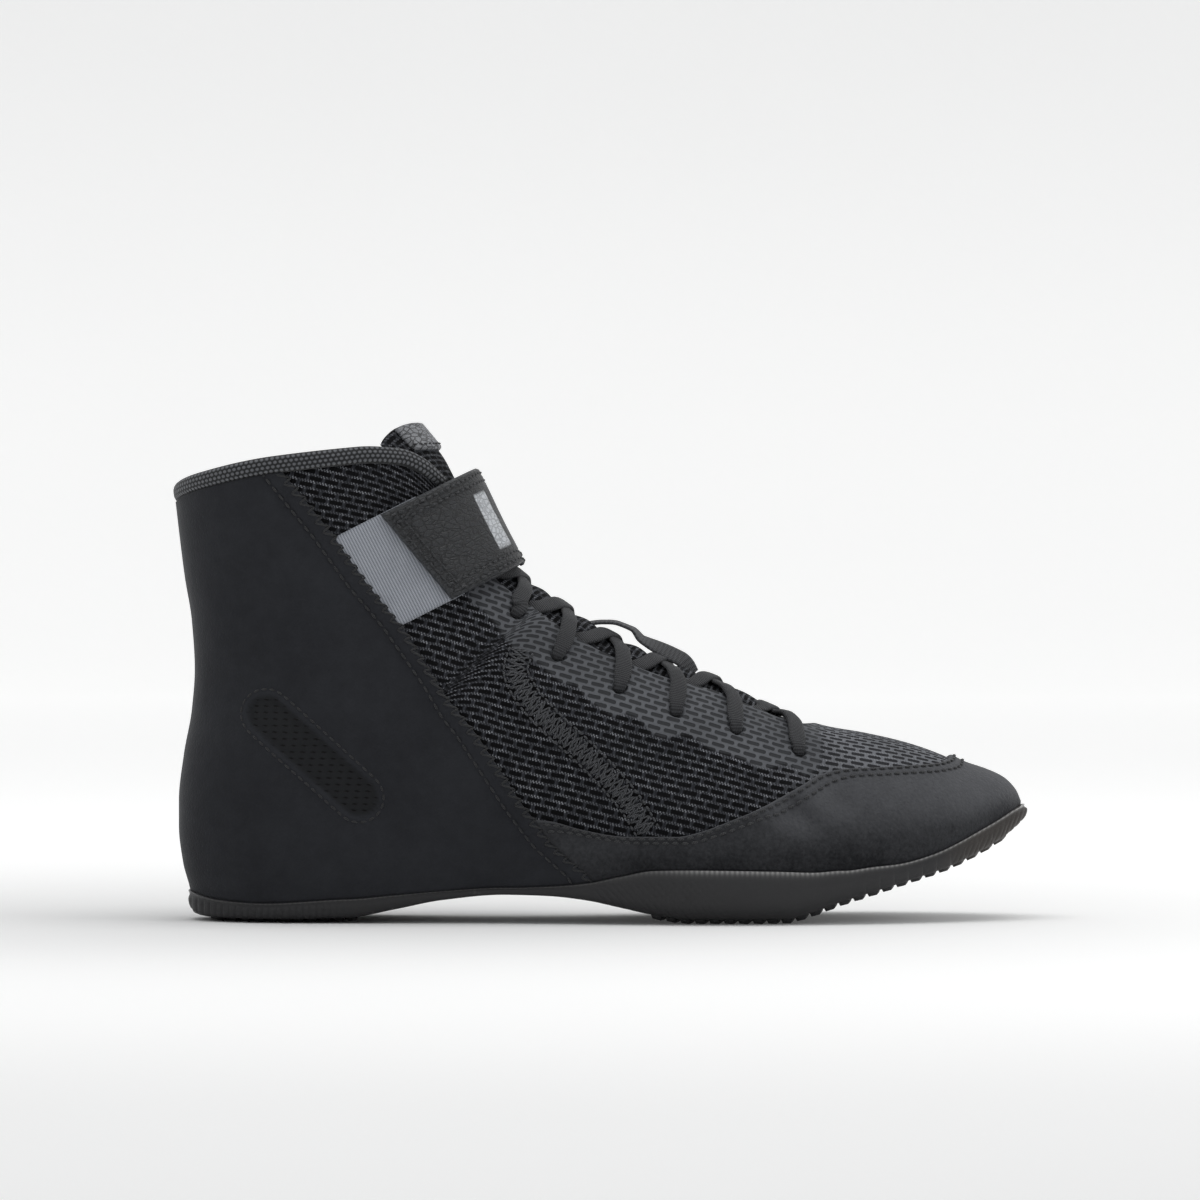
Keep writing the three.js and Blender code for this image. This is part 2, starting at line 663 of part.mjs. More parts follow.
// Upper with its eyelet holes. An eyelet's place is given in the side view.
const EYELETS = [
  { along: 0.350, up: 0.803 },
  { along: 0.398, up: 0.708 },
  { along: 0.446, up: 0.611 },
  { along: 0.518, up: 0.537 },
  { along: 0.584, up: 0.483 },
  { along: 0.654, up: 0.443 },
  { along: 0.727, up: 0.392 },
].map((row) => ({ x: row.along * LENGTH, z: row.up * HEIGHT }));

function sidePoint(x, z, side) {
  return new THREE.Vector3(x, middle(x, z) + side * halfWidth(x, z), z);
}

function sideNormal(x, z, side) {
  const along = sidePoint(x + 0.5, z, side).sub(sidePoint(x - 0.5, z, side));
  const up = sidePoint(x, z + 0.5, side).sub(sidePoint(x, z - 0.5, side));
  return up.cross(along).multiplyScalar(-side).normalize();
}

function eyeletHole({ x, z }, side) {
  const hole = new THREE.CylinderGeometry(EYELET_RADIUS, EYELET_RADIUS, 4 * WALL, 8);
  const turn = new THREE.Quaternion();
  turn.setFromUnitVectors(new THREE.Vector3(0, 1, 0), sideNormal(x, z, side));
  hole.applyQuaternion(turn);
  hole.translate(...sidePoint(x, z, side).toArray());
  return toManifold(hole);
}

let upper = toManifold(thicken(upperSheet, -WALL, 0));
for (const eyelet of EYELETS) {
  for (const side of [-1, 1]) upper = upper.subtract(eyeletHole(eyelet, side));
}

// Panels sewn on the upper are cut from a leather layer that follows it.
const leatherLayer = toManifold(thicken(upperSheet, CLEAR, CLEAR + LEATHER));
const inShoe = (rows) => rows.map((row) => [row.along * LENGTH, row.up * HEIGHT]);
const PANEL_FRONT = inShoe([
  { along: 0.095, up: 1.120 },
  { along: 0.130, up: 1.020 },
  { along: 0.185, up: 0.886 },
  { along: 0.226, up: 0.772 },
  { along: 0.267, up: 0.671 },
  { along: 0.315, up: 0.520 },
  { along: 0.353, up: 0.430 },
  { along: 0.384, up: 0.336 },
  { along: 0.404, up: 0.275 },
  { along: 0.442, up: 0.178 },
]);
const GUARD_TOP = inShoe([
  { along: 0.400, up: 0.240 },
  { along: 0.435, up: 0.235 },
  { along: 0.476, up: 0.215 },
  { along: 0.524, up: 0.201 },
  { along: 0.584, up: 0.201 },
  { along: 0.613, up: 0.213 },
  { along: 0.644, up: 0.235 },
  { along: 0.682, up: 0.266 },
  { along: 0.729, up: 0.314 },
  { along: 0.750, up: 0.336 },
  { along: 0.777, up: 0.347 },
  { along: 0.829, up: 0.351 },
  { along: 0.884, up: 0.356 },
  { along: 0.903, up: 0.364 },
  { along: 0.920, up: 0.420 },
]);

// Line just over the sole's top edge, with a corner wherever that edge has one.
const RIM_GAP = 3 * CLEAR;
function rimLine(from, to) {
  const low = Math.min(from, to);
  const high = Math.max(from, to);
  const places = [low, ...LOOP.filter((x) => x > low + 1 && x < high - 1), high];
  const line = places.map((x) => [x, rim(x) + RIM_GAP]);
  return from < to ? line : line.reverse();
}

const PANEL_FOOT = 0.485 * LENGTH;
PANEL_FRONT.push([PANEL_FOOT, rim(PANEL_FOOT) + 2 * RIM_GAP]);
const panelRim = rimLine(PANEL_FOOT + CLEAR, 0);
const panelBack = [[-0.1 * LENGTH, rim(0) + RIM_GAP], [-0.1 * LENGTH, 1.12 * HEIGHT]];
const panelOutline = [...PANEL_FRONT, ...panelRim, ...panelBack];
const heelPanel = largest(leatherLayer.intersect(sidePrism(panelOutline)));
const panelShadow = sidePrism([
  ...PANEL_FRONT.map(([x, z]) => [x + CLEAR, z + CLEAR]),
  ...panelRim.map(([x, z]) => [x + CLEAR, z - 3 * CLEAR]),
  ...panelBack.map(([x, z]) => [x - 1, z - 3 * CLEAR]),
]);
const guardOutline = [
  ...GUARD_TOP,
  [1.05 * LENGTH, 0.42 * HEIGHT],
  [1.05 * LENGTH, rim(TIP) + RIM_GAP],
  ...rimLine(TIP, 0.40 * LENGTH),
];
const toeGuard = largest(leatherLayer.intersect(sidePrism(guardOutline)).subtract(panelShadow));

// Round solid along a line of frames: a ring of points about each, closed at both ends.
function rolled(frames, width, height, corners = 6) {
  const rings = frames.map(({ centre, out, up }) => Array.from({ length: corners }, (_, k) => {
    const turn = 2 * Math.PI * (k + 0.5) / corners;
    const soft = (value) => Math.sign(value) * Math.abs(value) ** 0.8;
    return centre.clone()
      .addScaledVector(out, soft(Math.cos(turn)) * width / 2)
      .addScaledVector(up, soft(Math.sin(turn)) * height / 2);
  }));
  const points = [...rings.flat(), frames[0].centre, frames[frames.length - 1].centre];
  const faces = [];
  const first = rings.length * corners;
  for (let k = 0; k < corners; k++) {
    const next = (k + 1) % corners;
    for (let i = 0; i < rings.length - 1; i++) {
      const a = i * corners + k;
      const b = i * corners + next;
      faces.push([a, b, b + corners], [a, b + corners, a + corners]);
    }
    faces.push([first, next, k]);
    const last = (rings.length - 1) * corners;
    faces.push([first + 1, last + k, last + next]);
  }
  return outward(solidGeometry(points, faces));
}

// Turns a closed surface right side out.
function outward(geometry) {
  const place = geometry.attributes.position;
  const index = geometry.index.array;
  const corner = [0, 1, 2].map(() => new THREE.Vector3());
  let volume = 0;
  for (let i = 0; i < index.length; i += 3) {
    corner.forEach((p, k) => p.fromBufferAttribute(place, index[i + k]));
    volume += corner[0].dot(corner[1].cross(corner[2]));
  }
  if (volume < 0) {
    for (let i = 0; i < index.length; i += 3) [index[i], index[i + 1]] = [index[i + 1], index[i]];
  }
  return geometry;
}

// Collar binding: a knit roll on the upper's top edge, from one side of the throat to the other.
const BINDING_STEPS = 16;
const BINDING_OUT = 0.9; // the roll stands out from the middle of the wall
const bindingFrames = [];
for (let i = 0; i <= 2 * BINDING_STEPS; i++) {
  const side = i <= BINDING_STEPS ? -1 : 1;
  const share = 1 - Math.abs(1 - i / BINDING_STEPS);
  const station = collarStation(share);
  const at = sectionPoint(station, side, share);
  const up = sectionPoint(station - 2, side, share).sub(at).normalize();
  const fore = sectionPoint(collarStation(Math.max(share - 0.02, 0)), side, Math.max(share - 0.02, 0));
  const aft = sectionPoint(collarStation(Math.min(share + 0.02, 1)), side, Math.min(share + 0.02, 1));
  const out = share === 1 ? new THREE.Vector3(-1, 0, 0) : aft.sub(fore).cross(up).multiplyScalar(-side);
  out.addScaledVector(up, -out.dot(up)).normalize();
  if (out.y * side < 0 && share < 0.95) out.negate();
  const centre = at.clone().addScaledVector(out, BINDING_OUT - WALL / 2);
  centre.addScaledVector(up, BINDING_HEIGHT / 2 + CLEAR);
  bindingFrames.push({ centre, out, up });
}
const bindingRoll = toManifold(rolled(bindingFrames, BINDING_WIDTH, BINDING_HEIGHT));
const wallRoom = toManifold(thicken(upperSheet, -WALL - CLEAR, 2 * CLEAR + LEATHER));
const binding = largest(bindingRoll.subtract(wallRoom));

// Tongue: a strip of the form under the throat.
const TONGUE_TOP = 2;
const TONGUE_SIDE_TOP = 5.5;
const TONGUE_END = THROAT_END + 5;
function tonguePoint(station, across) {
  const line = ray(station);
  const crest = crestReach(station);
  const foot = footReach(station);
  const goal = Math.abs(across);
  let low = 0;
  let high = 0.45;
  for (let i = 0; i < 34; i++) {
    const down = (low + high) / 2;
    const reach = crest + (foot - crest) * down;
    const half = halfWidth(line.x + line.dx * reach, line.z + line.dz * reach);
    if (half < goal) low = down;
    else high = down;
  }
  const reach = crest + (foot - crest) * low;
  const x = line.x + line.dx * reach;
  const z = line.z + line.dz * reach;
  return new THREE.Vector3(x, middle(x, z) + across, z);
}

function tongueSheet(first, last, rows, columns) {
  return gridSheet(rows, columns, (i, j) => {
    const across = 2 * j / (columns - 1) - 1;
    const top = first + (TONGUE_SIDE_TOP - TONGUE_TOP) * across ** 4;
    const way = i / (rows - 1);
    const station = top + (last - top) * way;
    const share = THREE.MathUtils.clamp((station - 8) / (TONGUE_END - 8), 0, 1);
    const half = (TONGUE_WIDTH * (1 - share) + TONGUE_FOOT * share) / 2;
    return tonguePoint(station, across * half);
  }, true);
}

const TONGUE_DEPTH = WALL + 3 * CLEAR;
const tongueBody = toManifold(thicken(joinSheets(tongueSheet(TONGUE_TOP, TONGUE_END, 20, 9)),
  -TONGUE_DEPTH - TONGUE_THICK, -TONGUE_DEPTH));
const upperRoom = toManifold(thicken(upperSheet, -WALL - CLEAR, CLEAR));
const tongue = largest(tongueBody.subtract(upperRoom));

// Insole on the sole's bed, thinner at the toe where the upper comes down to it.
const INSOLE_ROOM = WALL + 8 * CLEAR;
const insoleTop = (x) => {
  const toe = THREE.MathUtils.smoothstep(x, 0.86 * LENGTH, 0.97 * LENGTH);
  return bed(x) + CLEAR + INSOLE_THICK * (1 - 0.6 * toe);
};
const insole = toManifold(ringSolid([
  formLoop((x) => bed(x) + CLEAR, -INSOLE_ROOM),
  formLoop(insoleTop, -INSOLE_ROOM - CLEAR),
], true, true));

// Leather cap on the front of the tongue's top.
const CAP_HALF = 0.37; // share of the tongue's width on each side
const CAP_END = 6.6;
const capSheet = gridSheet(5, 9, (i, j) => {
  const across = (2 * j / 8 - 1) * 2 * CAP_HALF;
  const top = TONGUE_TOP + 0.25 + (TONGUE_SIDE_TOP - TONGUE_TOP) * across ** 4;
  return tonguePoint(top + (CAP_END - top) * i / 4, across * TONGUE_WIDTH / 2);
}, true);
const capBase = CLEAR + 0.1 - TONGUE_DEPTH;
const tongueCap = toManifold(thicken(joinSheets(capSheet), capBase, capBase + CAP_THICK));

// Ankle strap. Its middle line rises towards the front from a point of the side view. Every
// piece of it is a band between two distances from that point, on the form with its crest moved
// out to the strap's straight front.
const STRAP_START = { x: 0.226 * LENGTH, z: 0.779 * HEIGHT };
const STRAP_FRONT = 0.157 * LENGTH;
const rise = { along: Math.cos(STRAP_RISE * DEG), up: Math.sin(STRAP_RISE * DEG) };

function strapPlace(distance, across) {
  return {
    x: STRAP_START.x + distance * rise.along - across * rise.up,
    z: STRAP_START.z + distance * rise.up + across * rise.along,
  };
}

function strapLift(station) {
  const line = ray(station);
  const ahead = (line.x - STRAP_START.x) * rise.along + (line.z - STRAP_START.z) * rise.up;
  const slope = line.dx * rise.along + line.dz * rise.up;
  const reach = (STRAP_FRONT - ahead) / slope;
  return Math.max(0, crestReach(station) - reach);
}

function strapPoint(distance, across, side) {
  const { x, z } = strapPlace(distance, across);
  const half = distance >= STRAP_FRONT ? 0 : halfWidth(x, z, strapLift(stationOf(x, z)));
  return new THREE.Vector3(x, middle(x, z) + side * half, z);
}

// Band on one side, from a start that can slant to its end at the front or short of it.
function bandSheet(side, startLow, startHigh, end, rows, columns, width = STRAP_WIDTH) {
  return gridSheet(rows, columns, (i, j) => {
    const across = width * (i / (rows - 1) - 0.5);
    const start = startLow + (startHigh - startLow) * i / (rows - 1);
    const share = end === STRAP_FRONT ? Math.sin(Math.PI / 2 * j / (columns - 1)) : j / (columns - 1);
    return strapPoint(start + (end - start) * share, across, side);
  }, side > 0);
}

const layer = (sheet, low, thick) => toManifold(thicken(joinSheets(...sheet), low, low + thick));
const elastic = largest(layer([bandSheet(-1, -8, -8, 27, 4, 7)], CLEAR, ELASTIC_THICK)
  .subtract(panelShadow));
const landing = layer([bandSheet(1, -10, -10, 27, 4, 7)], CLEAR + 0.2, ELASTIC_THICK - 0.2)
  .subtract(panelShadow);
const strapBase = 3 * CLEAR + ELASTIC_THICK;
const strap = layer([
  bandSheet(-1, 21.5, 13.5, STRAP_FRONT, 4, 11),
  bandSheet(1, 4, 4, STRAP_FRONT, 4, 11),
], strapBase, STRAP_THICK);

// Lace. A path over the instep is a list of places: station, distance across from the middle
// and height of the lace's underside over the form.
function formPoint(station, across, height) {
  const at = tonguePoint(station, across);
  const along = tonguePoint(station + 0.4, across).sub(tonguePoint(station - 0.4, across));
  const over = tonguePoint(station, across + 0.4).sub(tonguePoint(station, across - 0.4));
  return at.addScaledVector(along.cross(over).normalize(), height);
}

function bandAlong(path, width, thick, rows) {
  const curve = new THREE.CatmullRomCurve3(path.map((p) => new THREE.Vector3(...p)), false, 'centripetal');
  const places = curve.getSpacedPoints(rows - 1);
  const lower = places.map((p) => formPoint(p.x, p.y, p.z));
  const upperLine = places.map((p) => formPoint(p.x, p.y, p.z + thick));
  const points = [];
  lower.forEach((p, i) => {
    const ahead = lower[Math.min(i + 1, rows - 1)].clone().sub(lower[Math.max(i - 1, 0)]);
    const up = upperLine[i].clone().sub(p).normalize();
    const aside = ahead.cross(up).normalize().multiplyScalar(width / 2);
    for (const [sign, base] of [[-1, lower[i]], [1, lower[i]], [1, upperLine[i]], [-1, upperLine[i]]]) {
      points.push(base.clone().addScaledVector(aside, sign));
    }
  });
  const faces = [[0, 1, 2], [0, 2, 3]];
  for (let i = 0; i < rows - 1; i++) {
    for (let k = 0; k < 4; k++) {
      const a = 4 * i + k;
      const b = 4 * i + (k + 1) % 4;
      faces.push([a, a + 4, b + 4], [a, b + 4, b]);
    }
  }
  const last = 4 * (rows - 1);
  faces.push([last, last + 2, last + 1], [last, last + 3, last + 2]);
  return toManifold(outward(solidGeometry(points, faces)));
}

const onTongue = 3 * CLEAR - TONGUE_DEPTH;
const onUpper = CLEAR + 0.3;
const eyeletPlace = EYELETS.map(({ x, z }) => {
  return { station: stationOf(x, z), across: halfWidth(x, z) };
});

// One strand: out from under the upper's edge just past one eyelet, forward over the tongue, and
// over the far edge to the next eyelet, which it enters from outside.
function strand(from, to, side) {
  const pitch = to.station - from.station;
  const near = throatHalf(from.station) - 3.2;
  const far = throatHalf(to.station - 2);
  return bandAlong([
    [from.station + 0.12 * pitch, side * near, onTongue],
    [from.station + 0.38 * pitch, side * near * 0.35, onTongue + 0.1],
    [from.station + 0.58 * pitch, -side * far * 0.30, onTongue + 0.7],
    [from.station + 0.79 * pitch, -side * (far - 3), onUpper + 0.3],
    [from.station + 0.91 * pitch, -side * (far + 2), onUpper + 0.3],
    [to.station, -side * to.across, onUpper],
  ], LACE_WIDTH, LACE_THICK, 9);
}

const crossings = [];
for (let i = 0; i < eyeletPlace.length - 1; i++) {
  const [from, to] = [eyeletPlace[i], eyeletPlace[i + 1]];
  crossings.push(strand(from, to, -1).add(strand(from, to, 1)));
}

// Webbing over the lace, sewn to the tongue at both ends.
const keeperStations = [0, 0.25, 0.5, 1.0, 1.4, 1.8, 2.12].map((place) => {
  const i = 2 + Math.floor(place);
  const part = place - Math.floor(place);
  return eyeletPlace[i].station * (1 - part) + eyeletPlace[i + 1].station * part;
});
const keeperHeights = [onTongue, 2.2, 3.6, 1.8, 2.2, 1.4, onTongue];
const keeper = bandAlong(keeperStations.map((station, i) => [station, 0, keeperHeights[i]]),
  KEEPER_WIDTH, KEEPER_THICK, 12);

// The shoe's origin lies on the floor under the middle of the heel.
const shoe = new THREE.Group();
shoe.position.set(-HEEL_PAD, -middle(HEEL_PAD, 0), 0);
function addPiece(name, solid, color, roughness) {
  const material = new THREE.MeshStandardMaterial({ color, roughness, metalness: 0 });
  const mesh = new THREE.Mesh(toGeometry(solid), material);
  mesh.name = name;
  shoe.add(mesh);
}

addPiece('outsole', sole, 0x2a2928, 0.6);
addPiece('insole', insole, 0x202226, 0.9);
addPiece('upper', upper, 0x1b1c1f, 0.8);
addPiece('tongue', tongue, 0x1d1e21, 0.8);
addPiece('heel_panel', heelPanel, 0x26282c, 0.9);
addPiece('toe_guard', toeGuard, 0x35363a, 0.9);
addPiece('collar_binding', binding, 0x1d1e21, 0.9);
addPiece('tongue_cap', tongueCap, 0x2a2c30, 0.6);
addPiece('strap_elastic', elastic, 0xa5a8ad, 0.7);
addPiece('strap', strap, 0x2a2c30, 0.55);
addPiece('strap_landing', landing, 0x1b1c1f, 0.95);
crossings.forEach((crossing, i) => addPiece(`lace_crossing_${i + 1}`, crossing, 0x222326, 0.85));
addPiece('lace_keeper', keeper, 0x2a2b2e, 0.85);

export default shoe;
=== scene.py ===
"""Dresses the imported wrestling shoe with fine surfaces, stitching and finishes.

Every surface follows one form of the foot, worked out here in millimetres from the heel's
rearmost point and moved to the frame's origin in metres when a mesh is made.
"""

from __future__ import annotations

import logging
import math
from dataclasses import dataclass, field
from enum import Enum
from typing import Any, Callable, Sequence

import bpy
import numpy as np
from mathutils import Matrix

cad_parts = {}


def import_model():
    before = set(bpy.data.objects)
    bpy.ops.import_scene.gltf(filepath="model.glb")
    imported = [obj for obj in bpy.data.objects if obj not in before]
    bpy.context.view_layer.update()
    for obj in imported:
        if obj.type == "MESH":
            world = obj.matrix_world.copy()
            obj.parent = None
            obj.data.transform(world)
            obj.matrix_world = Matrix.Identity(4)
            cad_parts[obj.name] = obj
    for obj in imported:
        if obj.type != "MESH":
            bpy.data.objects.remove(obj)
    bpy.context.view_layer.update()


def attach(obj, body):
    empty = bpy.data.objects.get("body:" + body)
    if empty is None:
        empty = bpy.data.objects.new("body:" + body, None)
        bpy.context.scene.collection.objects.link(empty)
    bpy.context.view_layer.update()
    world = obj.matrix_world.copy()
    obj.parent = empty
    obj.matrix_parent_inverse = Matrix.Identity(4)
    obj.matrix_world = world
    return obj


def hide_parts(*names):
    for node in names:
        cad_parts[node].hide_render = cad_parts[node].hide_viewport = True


LOG = logging.getLogger("wrestling_shoe")
Array = np.ndarray
Graded = Any


class Side(Enum):
    """The two sides of the right shoe: the outer side faces -Y."""

    OUTER = -1
    INNER = 1


BOTH = (Side.OUTER, Side.INNER)


# ---------------------------------------------------------------- curves and the form


class Curve:
    """Smooth curve through rows, level at its own peaks.

    Between two rows it is the cubic with the harmonic mean of the slopes on both sides as its
    slope at a row, and zero where they differ in sign. Past the ends it goes on straight.
    """

    def __init__(self, x: Sequence[float], y: Sequence[float]) -> None:
        """Works out the slope at each row.

        Args:
            x: places, rising.
            y: values there.
        """
        self.x = np.asarray(x, float)
        self.y = np.asarray(y, float)
        slope = np.diff(self.y) / np.diff(self.x)
        steady = slope[:-1] * slope[1:] > 0
        total = np.where(steady, slope[:-1] + slope[1:], 1.0)
        inner = np.where(steady, 2 * slope[:-1] * slope[1:] / total, 0.0)
        self.lean = np.concatenate([[slope[0]], inner, [slope[-1]]])

    def __call__(self, at: Graded) -> Array:
        """Values at the places given."""
        at = np.asarray(at, float)
        inside = np.clip(at, self.x[0], self.x[-1])
        i = np.clip(np.searchsorted(self.x, inside) - 1, 0, len(self.x) - 2)
        h = self.x[i + 1] - self.x[i]
        u = (inside - self.x[i]) / h
        v = 1 - u
        value = self.y[i] * v * v * (1 + 2 * u) + self.y[i + 1] * u * u * (3 - 2 * u)
        value = value + h * u * v * (self.lean[i] * v - self.lean[i + 1] * u)
        return value + np.where(at < inside, self.lean[0], self.lean[-1]) * (at - inside)


def smooth(low: float, high: float, at: Graded) -> Array:
    """Smooth step: 0 below low, 1 above high, with level ends."""
    u = np.clip((np.asarray(at, float) - low) / (high - low), 0, 1)
    return u * u * (3 - 2 * u)


def quarter(share: Graded, power: float) -> Array:
    """Quarter of a superellipse: 0 at the edge, 1 at full width."""
    u = 1 - np.clip(share, 0, 1)
    return (1 - u**power) ** (1 / power)


BACK_ROWS = np.array([
    (0.030, 0.0235), (0.085, 0.0168), (0.134, 0.0100), (0.215, 0.0052), (0.275, 0.0052),
    (0.379, 0.0110), (0.483, 0.0205), (0.577, 0.0240), (0.691, 0.0205), (0.795, 0.0120),
    (1.000, -0.0007), (1.200, -0.0120),
])
CREST_ROWS = np.array([
    (0.260, 1.208), (0.293, 1.148), (0.327, 1.057), (0.3545, 0.940), (0.375, 0.866),
    (0.3925, 0.815), (0.418, 0.773), (0.449, 0.731), (0.495, 0.672), (0.548, 0.619),
    (0.620, 0.563), (0.695, 0.494), (0.760, 0.447), (0.808, 0.430), (0.856, 0.408),
    (0.901, 0.377), (0.925, 0.353), (0.949, 0.337), (0.969, 0.319), (0.983, 0.292),
    (0.9887, 0.267),
])
SOLE_ROWS = np.array([
    (0.000, 0.00, 0.000, 0.92, 0.60, 0.000), (0.050, 0.00, 0.000, 0.90, 0.41, 0.000),
    (0.100, 0.00, 0.000, 0.90, 0.36, 0.000), (0.200, 0.05, 0.000, 0.92, 0.42, 0.000),
    (0.257, 0.39, 0.000, 0.64, 0.33, 0.000), (0.312, 0.77, 0.000, 0.50, 0.22, 0.000),
    (0.384, 1.00, 0.000, 0.44, 0.17, 0.000), (0.432, 0.95, 0.000, 0.46, 0.22, 0.000),
    (0.478, 0.76, 0.000, 0.62, 0.38, 0.000), (0.519, 0.45, 0.000, 0.94, 0.67, 0.000),
    (0.555, 0.19, 0.000, 1.18, 0.91, 0.000), (0.600, 0.00, 0.000, 1.32, 1.02, 0.000),
    (0.709, 0.00, 0.000, 1.24, 0.99, 0.000), (0.743, 0.00, 0.070, 1.16, 0.84, 0.000),
    (0.777, 0.00, 0.176, 1.02, 0.67, 0.000), (0.808, 0.00, 0.259, 0.90, 0.46, 0.050),
    (0.856, 0.00, 0.388, 0.78, 0.16, 0.120), (0.901, 0.00, 0.512, 0.72, 0.00, 0.196),
    (0.949, 0.00, 0.700, 0.66, 0.00, 0.212), (0.973, 0.00, 0.818, 0.62, 0.00, 0.206),
    (1.000, 0.00, 1.000, 0.56, 0.00, 0.141),
])
MIDDLE_ROWS = np.array([
    (0.000, 0.000), (0.137, -0.005), (0.257, -0.020), (0.377, -0.062), (0.479, -0.074),
    (0.565, -0.058), (0.651, -0.030), (0.719, 0.004), (0.805, 0.040), (0.873, 0.066),
    (0.925, 0.084), (1.000, 0.104),
])
SHAFT, HEEL, BALL = 76.0, 66.0, 98.0
SECTION_ROWS = np.array([
    (-8, SHAFT, 0.50, 0.50, 0.50, 0.49, 0.31), (8, SHAFT, 0.50, 0.50, 0.50, 0.49, 0.31),
    (17, SHAFT, 0.46, 0.48, 0.47, 0.46, 0.31), (26, SHAFT, 0.44, 0.46, 0.44, 0.42, 0.31),
    (33, HEEL, 0.50, 0.53, 0.52, 0.49, 0.30), (41, HEEL, 0.49, 0.52, 0.525, 0.49, 0.29),
    (50, HEEL, 0.48, 0.51, 0.51, 0.485, 0.29), (60, BALL, 0.33, 0.34, 0.325, 0.29, 0.30),
    (70, BALL, 0.36, 0.375, 0.375, 0.335, 0.33), (80, BALL, 0.40, 0.42, 0.435, 0.41, 0.36),
    (90, BALL, 0.43, 0.455, 0.47, 0.455, 0.385), (115, BALL, 0.43, 0.45, 0.455, 0.44, 0.34),
    (140, BALL, 0.40, 0.415, 0.42, 0.405, 0.26), (160, BALL, 0.38, 0.39, 0.395, 0.38, 0.18),
    (172, BALL, 0.36, 0.365, 0.37, 0.36, 0.10), (180, BALL, 0.34, 0.34, 0.345, 0.34, 0.04),
])
THROAT_ROWS = np.array([
    (0, 0.225), (14, 0.215), (30, 0.195), (60, 0.180), (85, 0.155), (110, 0.120),
])
COLLAR_ROWS = np.array([
    (0.00, 14.5), (0.05, 11.4), (0.12, 9.0), (0.25, 7.9), (0.50, 7.7), (0.75, 8.2), (1.00, 9.0),
])


